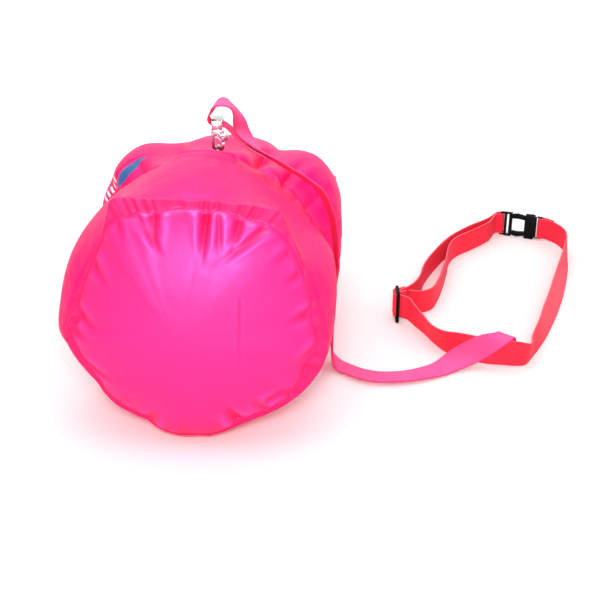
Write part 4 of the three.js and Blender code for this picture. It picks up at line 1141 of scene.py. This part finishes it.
# down the float's side and over the floor to the belt: (x, back, z) of each edge
LEASH_RUN = [
    (108.9, 104.9, 110.5, 105.9, 129.7, 110.2), (105.6, 108, 82, 103.6, 132.9, 82),
    (104.8, 113.5, 48, 103.4, 138.4, 48), (104.6, 117, 24, 103.8, 142, 23),
    (105.6, 118.5, 9, 105.6, 143.4, 9), (110, 116.5, 3.4, 112.5, 141.2, 2.2),
    (118, 108.5, 4.1, 122, 133, 1.2), (130, 99.5, 4.4, 134, 123.8, 1.2),
    (143, 95, 4.4, 147.5, 119.2, 1.2), (159, 94.5, 4.4, 161, 119.2, 1.2),
    (176, 97.5, 4.2, 174, 122.0, 1.2), (191, 103, 3.6, 186, 127, 1.4),
    (205, 110, 2.6, 199, 134, 2.6), (217, 118, 2.4, 208.5, 140, 7),
    (228, 122.5, 4.6, 217, 139.5, 15), (240, 125, 9, 228.5, 136.5, 24),
    (252.5, 125.5, 17.5, 241.5, 136, 31), (264, 127, 26.5, 252, 136.8, 32.4),
    (271.5, 132.0, 29.6, 258.5, 142.6, 30), (273.5, 136.0, 22, 261.5, 143.4, 17),
    (270.5, 136.4, 11, 257.5, 141.0, 6),
]
leash_loop = Strip(LEASH_LOOP)
loop_blend = ("float", "d_ring", laid_m(62.0, RING_Y, 200.0), laid_m(30.0, RING_Y, 228.0))
register(leash_loop.mesh("leash_webbing_loop", LEASH), loop_blend,
         "leash_webbing_upper")
leash_run = Strip(np.array(LEASH_RUN) + [0, RIM_Y, 0, 0, RIM_Y, 0])
run_blend = ("float", "belt", laid_m(108.0, 70.0, 6.0), laid_m(150.0, 45.0, 3.0))
register(leash_run.mesh("leash_webbing_run", LEASH), run_blend, "leash_webbing_lower")

# stitches where the webbing is sewn back on itself
register(stitches("leash_stitching", leash_loop, box_lines(3.0, 15.5, 0.38)), loop_blend)
register(stitches("belt_socket_stitching", belt_main,
                  box_lines(belt_main.total - 7.5, belt_main.total - 0.8, 0.4)),
         "belt")
register(stitches("belt_adjuster_stitching", belt_main, cross_lines((1.0, 3.0, 5.0), 0.42)),
         "belt")

# ---------------------------------------------------------------- closure webbing
CLOSURE_X, CLOSURE_BACK = -5.0, 352.5  # origin of the closure buckle
# from each end of the rolled mouth to behind it: (x beyond the mouth, back)
TAB_START = [(0.6, 331.5), (3.5, 331.9), (7, 334.4), (8.4, 339), (7, 344), (2, 348), (-8, 350.4),
             (-38, 351)]


def at_closure(x, back):
    return upright(AXIS_Z - WEB_WIDTH / 2, x, RIM_Y + back)


def at_closure_buckle(along, across):
    return at_closure(CLOSURE_X + along, CLOSURE_BACK - across)


def closure_tab(side, name, rest, body):
    """One webbing tab and its box stitch."""
    start = [at_closure(side * (MOUTH_HALF + x), back) for x, back in TAB_START]
    strip = Strip(start + rest, per=7, turned=False)
    register(strip.mesh("closure_webbing_" + name, WEBBING), body,
             "closure_tab_" + name)
    lines = box_lines(strip.total - 9.5, strip.total - 1.5, 0.38)
    register(stitches("closure_stitching_" + name, strip, lines, sides=(-1, 1)), body)


closure_blend = ("float", "closure_plug", (-0.088, (RIM_Y + 351) * MM, AXIS_Z * MM),
                 (-0.044, (RIM_Y + 351) * MM, AXIS_Z * MM))
closure_tab(-1, "left", stations(at_closure_buckle, [
    (-34, 2.2), *PLUG_WRAP, (-34, -2.6), (-42, -0.7), (-52, -0.6)]), closure_blend)
closure_tab(1, "right", [at_closure(34, 350.6), *stations(at_closure_buckle, [
    (24, 2.3), *SOCKET_WRAP, (24, -2.6), (32, -0.7), (42, -0.6)])], "float")


# ---------------------------------------------------------------- anchor patch, D-ring
def anchor_patch():
    rows, columns = 49, 37
    along = (np.arange(rows) / ((rows - 1) / 2) - 1)[:, None]
    across = (np.arange(columns) / ((columns - 1) / 2) - 1)[None, :]
    angle = PATCH_ANGLE + 17 * along
    back = PATCH_BACK + 13.5 * np.sqrt(np.maximum(0.12, 1 - along ** 4)) * across
    edge = np.maximum(np.abs(along), np.abs(across))
    # domed, with a weld groove near the edge
    lift = 0.7 * np.minimum(1, 6 * (1 - edge)) ** 0.5 - 0.28 * bell(edge - 0.86, 0.03)
    points = np.concatenate([skin(angle, back, 0.55 + lift).reshape(-1, 3),
                             skin(angle, back, 0.3).reshape(-1, 3)])
    under = rows * columns
    faces = []
    for pair in zip(grid_faces(rows, columns, wrap_columns=False, flip=True),
                    grid_faces(rows, columns, under, wrap_columns=False)):
        faces += pair
    for i in range(rows - 1):
        for j in (0, columns - 1):
            a = i * columns + j
            faces.append((a, a + columns, under + a + columns, under + a))
    for j in range(columns - 1):
        for i in (0, rows - 1):
            a = i * columns + j
            faces.append((a, under + a, under + a + 1, a + 1))
    piece = make("anchor_patch_film", points, faces, PATCH_FILM, points[:, :2] * MM)
    register(outward(piece), "float", "anchor_patch")


def d_ring_tab():
    """A short strip over the patch, humped over the straight side of the D-ring."""
    def on_patch(x):
        return x, AXIS_Z + math.sqrt(97.25 ** 2 - (0.996 * x + 2.27) ** 2)

    x_end, z_end = on_patch(12.4)
    # (x, z)
    line = [on_patch(-5), on_patch(0), on_patch(3.6), (5.4, 203.2), (5.7, 204.4), (6.6, 205.4),
            (8, 205.8), (9.4, 205.4), (10.3, 204.4), (10.6, 203.2), (x_end, z_end + 0.1),
            on_patch(16), on_patch(21)]
    tab = Strip([[x, RING_Y - 6, z, x, RING_Y + 6, z] for x, z in line], thick=1.4, per=5)
    register(tab.mesh("d_ring_tab_webbing", WEBBING), "float", "d_ring_tab")
    rows = cross_lines((1.5, 3.2, tab.total - 1.5, tab.total - 3.2), 0.4)
    register(stitches("d_ring_tab_stitching", tab, rows, sides=(1,)), "float")


def d_ring():
    """Wire bent to a half circle closed by a straight side below."""
    bend_r, wire_r, sides = 8.5, 1.2, 20
    bend_z, straight_z = 214.6 - bend_r, 203.4
    path = [(RING_X, RING_Y + bend_r * math.cos(angle), bend_z + bend_r * math.sin(angle))
            for angle in [math.pi * i / 48 for i in range(49)]]
    # rounded corners: (distance in from the bend's side, height over the straight side)
    corner = [(0, 1.3), (0.12, 0.75), (0.4, 0.4), (0.8, 0.12), (1.3, 0)]
    straight = [(inset - bend_r, z) for inset, z in corner] + [(-4, 0), (0, 0), (4, 0)]
    straight += [(bend_r - inset, z) for inset, z in corner[::-1]]
    path += [(RING_X, RING_Y + y, straight_z + z) for y, z in straight]
    path = laid(path)
    tangents = unit(np.roll(path, -1, 0) - np.roll(path, 1, 0))
    normal = np.cross(tangents[0], [1.0, 0, 0])
    normals = []
    for tangent in tangents:
        normal = unit(normal - tangent * (normal @ tangent))
        normals.append(normal)
    normals = np.array(normals)
    points = sweep(path, normals, np.cross(tangents, normals), wire_r, sides)
    faces = grid_faces(len(path), sides, wrap_rows=True)
    register(outward(make("d_ring_wire", points, faces, NICKEL)), "d_ring", "d_ring")


anchor_patch()
d_ring_tab()
d_ring()

# ---------------------------------------------------------------- hardware
# (CAD node, material, bevel, body, slot)
HOOK_PARTS = [
    ("snap_hook_body", NICKEL, 0.4, "snap_hook", "nickel"),
    ("snap_hook_gate", NICKEL, 0.25, "hook_gate", "nickel"),
    ("snap_hook_gate_pin", STEEL, 0.12, "snap_hook", "steel"),
    ("snap_hook_spring", STEEL, 0.08, "snap_hook", "steel"),
    ("swivel_eye", NICKEL, 0.35, "swivel_eye", "nickel"),
    ("belt_adjuster", BLACK, 0.7, "belt_adjuster", "black_plastic"),
]
for part in HOOK_PARTS:
    refined(*part)
for buckle, socket_body in (("belt", "belt"), ("closure", "float")):
    for part, bevel, body in (
            ("socket", 0.6, socket_body), ("plug", 0.6, buckle + "_plug"),
            ("arm_upper", 0.55, buckle + "_arm_upper"),
            ("arm_lower", 0.55, buckle + "_arm_lower")):
        refined(f"{buckle}_buckle_{part}", BLACK, bevel, body, "black_plastic")
for valve in ("front_valve", "rear_valve"):
    for part, bevel, body in (
            ("seat", 0.3, "float"), ("stem", 0.25, valve + "_stem"),
            ("cap_strap", 0.3, valve + "_stem"), ("cap", 0.3, valve + "_cap")):
        refined(f"{valve}_{part}", VINYL, bevel, body, "valve_plastic")


# ---------------------------------------------------------------- stage, in metres
def sheet_material():
    mat = Material("pale_sheet")
    patches = mat.noise(mat.object, scale=1.2, detail=2.0)
    # the sheet glows more towards +Y
    far = mat.separate(mat.object)[1]
    glow = mat.math("MULTIPLY_ADD", far, 0.9, -0.25, clamp=True)
    return mat.finish({
        "Base Color": mat.tint((0.93, 0.93, 0.925), (0.90, 0.905, 0.91), patches, strength=0.3),
        "Roughness": 0.75,
        "Specular IOR Level": 0.1,
        "Emission Color": (1, 1, 1),
        "Emission Strength": mat.times(glow, 0.55),
    })


def floor_sheet():
    """A floor that curves up into a wall at +Y."""
    half_x, near, bend, back, top, steps = 3.0, -2.2, 0.9, 1.6, 2.2, 24
    drop = 0.0002  # the sheet lies just under z = 0
    bend_r = back - bend
    profile = [(near, 0.0), (bend, 0.0)]
    for i in range(1, steps + 1):
        angle = math.pi / 2 * i / steps
        profile.append((bend + bend_r * math.sin(angle), bend_r * (1 - math.cos(angle))))
    profile.append((back, top))
    bm = bmesh.new()
    rows = [[bm.verts.new((x, y, z - drop)) for x in (-half_x, half_x)] for y, z in profile]
    for row, after in zip(rows, rows[1:]):
        bm.faces.new((row[0], row[1], after[1], after[0]))
    mesh = bpy.data.meshes.new("floor_sheet")
    bm.to_mesh(mesh)
    bm.free()
    shade_smooth(mesh)
    mesh.materials.append(sheet_material())
    link_object("floor_sheet", mesh)


def area_light(name, location, target, size, energy, color=(1, 1, 1), mirrored=False,
               diffuse=True):
    """A rectangular light; 'mirrored' shows it in reflections, 'diffuse' lights surfaces."""
    data = bpy.data.lights.new(name, "AREA")
    data.shape = "RECTANGLE"
    data.size, data.size_y = size
    data.energy = energy
    data.color = color
    light = link_object(name, data)
    light.location = location
    aim = Vector(target) - Vector(location)
    light.rotation_euler = aim.to_track_quat("-Z", "Y").to_euler()
    light.visible_glossy = mirrored
    if not diffuse:
        light.visible_diffuse = False
        light.visible_transmission = False


def studio_world():
    """Even light, but darker below and lighter above in reflections."""
    world = bpy.data.worlds.new("studio")
    world.use_nodes = True
    nodes = Nodes(world.node_tree)
    direction = nodes.separate(nodes.add("TexCoord").outputs["Generated"])
    reflected = nodes.add("LightPath").outputs["Is Glossy Ray"]
    upward = nodes.math("MULTIPLY_ADD", direction[2], 1.6, 0.05, clamp=True)
    upward = nodes.math("POWER", upward, 1.4)
    mirrored = nodes.mix(upward, (0.06, 0.06, 0.065), (0.75, 0.74, 0.75))
    background = world.node_tree.nodes["Background"]
    nodes.feed(background.inputs["Color"], nodes.mix(reflected, (1.0, 0.995, 0.99), mirrored))
    nodes.feed(background.inputs["Strength"], 0.5)
    bpy.context.scene.world = world


def camera():
    data = bpy.data.cameras.new("camera")
    data.lens, data.sensor_width, data.clip_start = 63.0, 36.0, 0.01
    view = link_object("camera", data)
    view.location = (0.1555, -0.7744, 0.466)
    view.rotation_euler = (math.radians(65.0), 0.0, math.radians(5.35))
    bpy.context.scene.camera = view


floor_sheet()
area_light("softbox_top", location=(0.05, 0.05, 1.45), target=(0.1, 0.1, 0.0),
           size=(1.5, 1.3), energy=8)
area_light("softbox_left", location=(-1.2, -0.3, 0.9), target=(0.05, 0.1, 0.1),
           size=(0.8, 0.8), energy=1.6, color=(1.0, 0.98, 0.98))
area_light("softbox_right", location=(1.4, -0.2, 0.9), target=(0.15, 0.1, 0.05),
           size=(0.8, 0.8), energy=2.2)
area_light("flash", location=(0.17, -0.93, 0.64), target=(0.05, 0.0, 0.1),
           size=(0.26, 0.18), energy=9, color=(1.0, 0.985, 1.0), mirrored=True)
area_light("film_sheen", location=(-0.03, -1.1, 0.33), target=(0.0, 0.0, 0.14),
           size=(0.34, 0.30), energy=26, color=(1.0, 0.92, 1.0), mirrored=True, diffuse=False)
area_light("rim_sheen", location=(-0.12, -0.02, 1.25), target=(0.0, -0.05, 0.2),
           size=(0.34, 0.26), energy=28, mirrored=True, diffuse=False)
studio_world()
bpy.context.scene.view_settings.view_transform = "Standard"
camera()
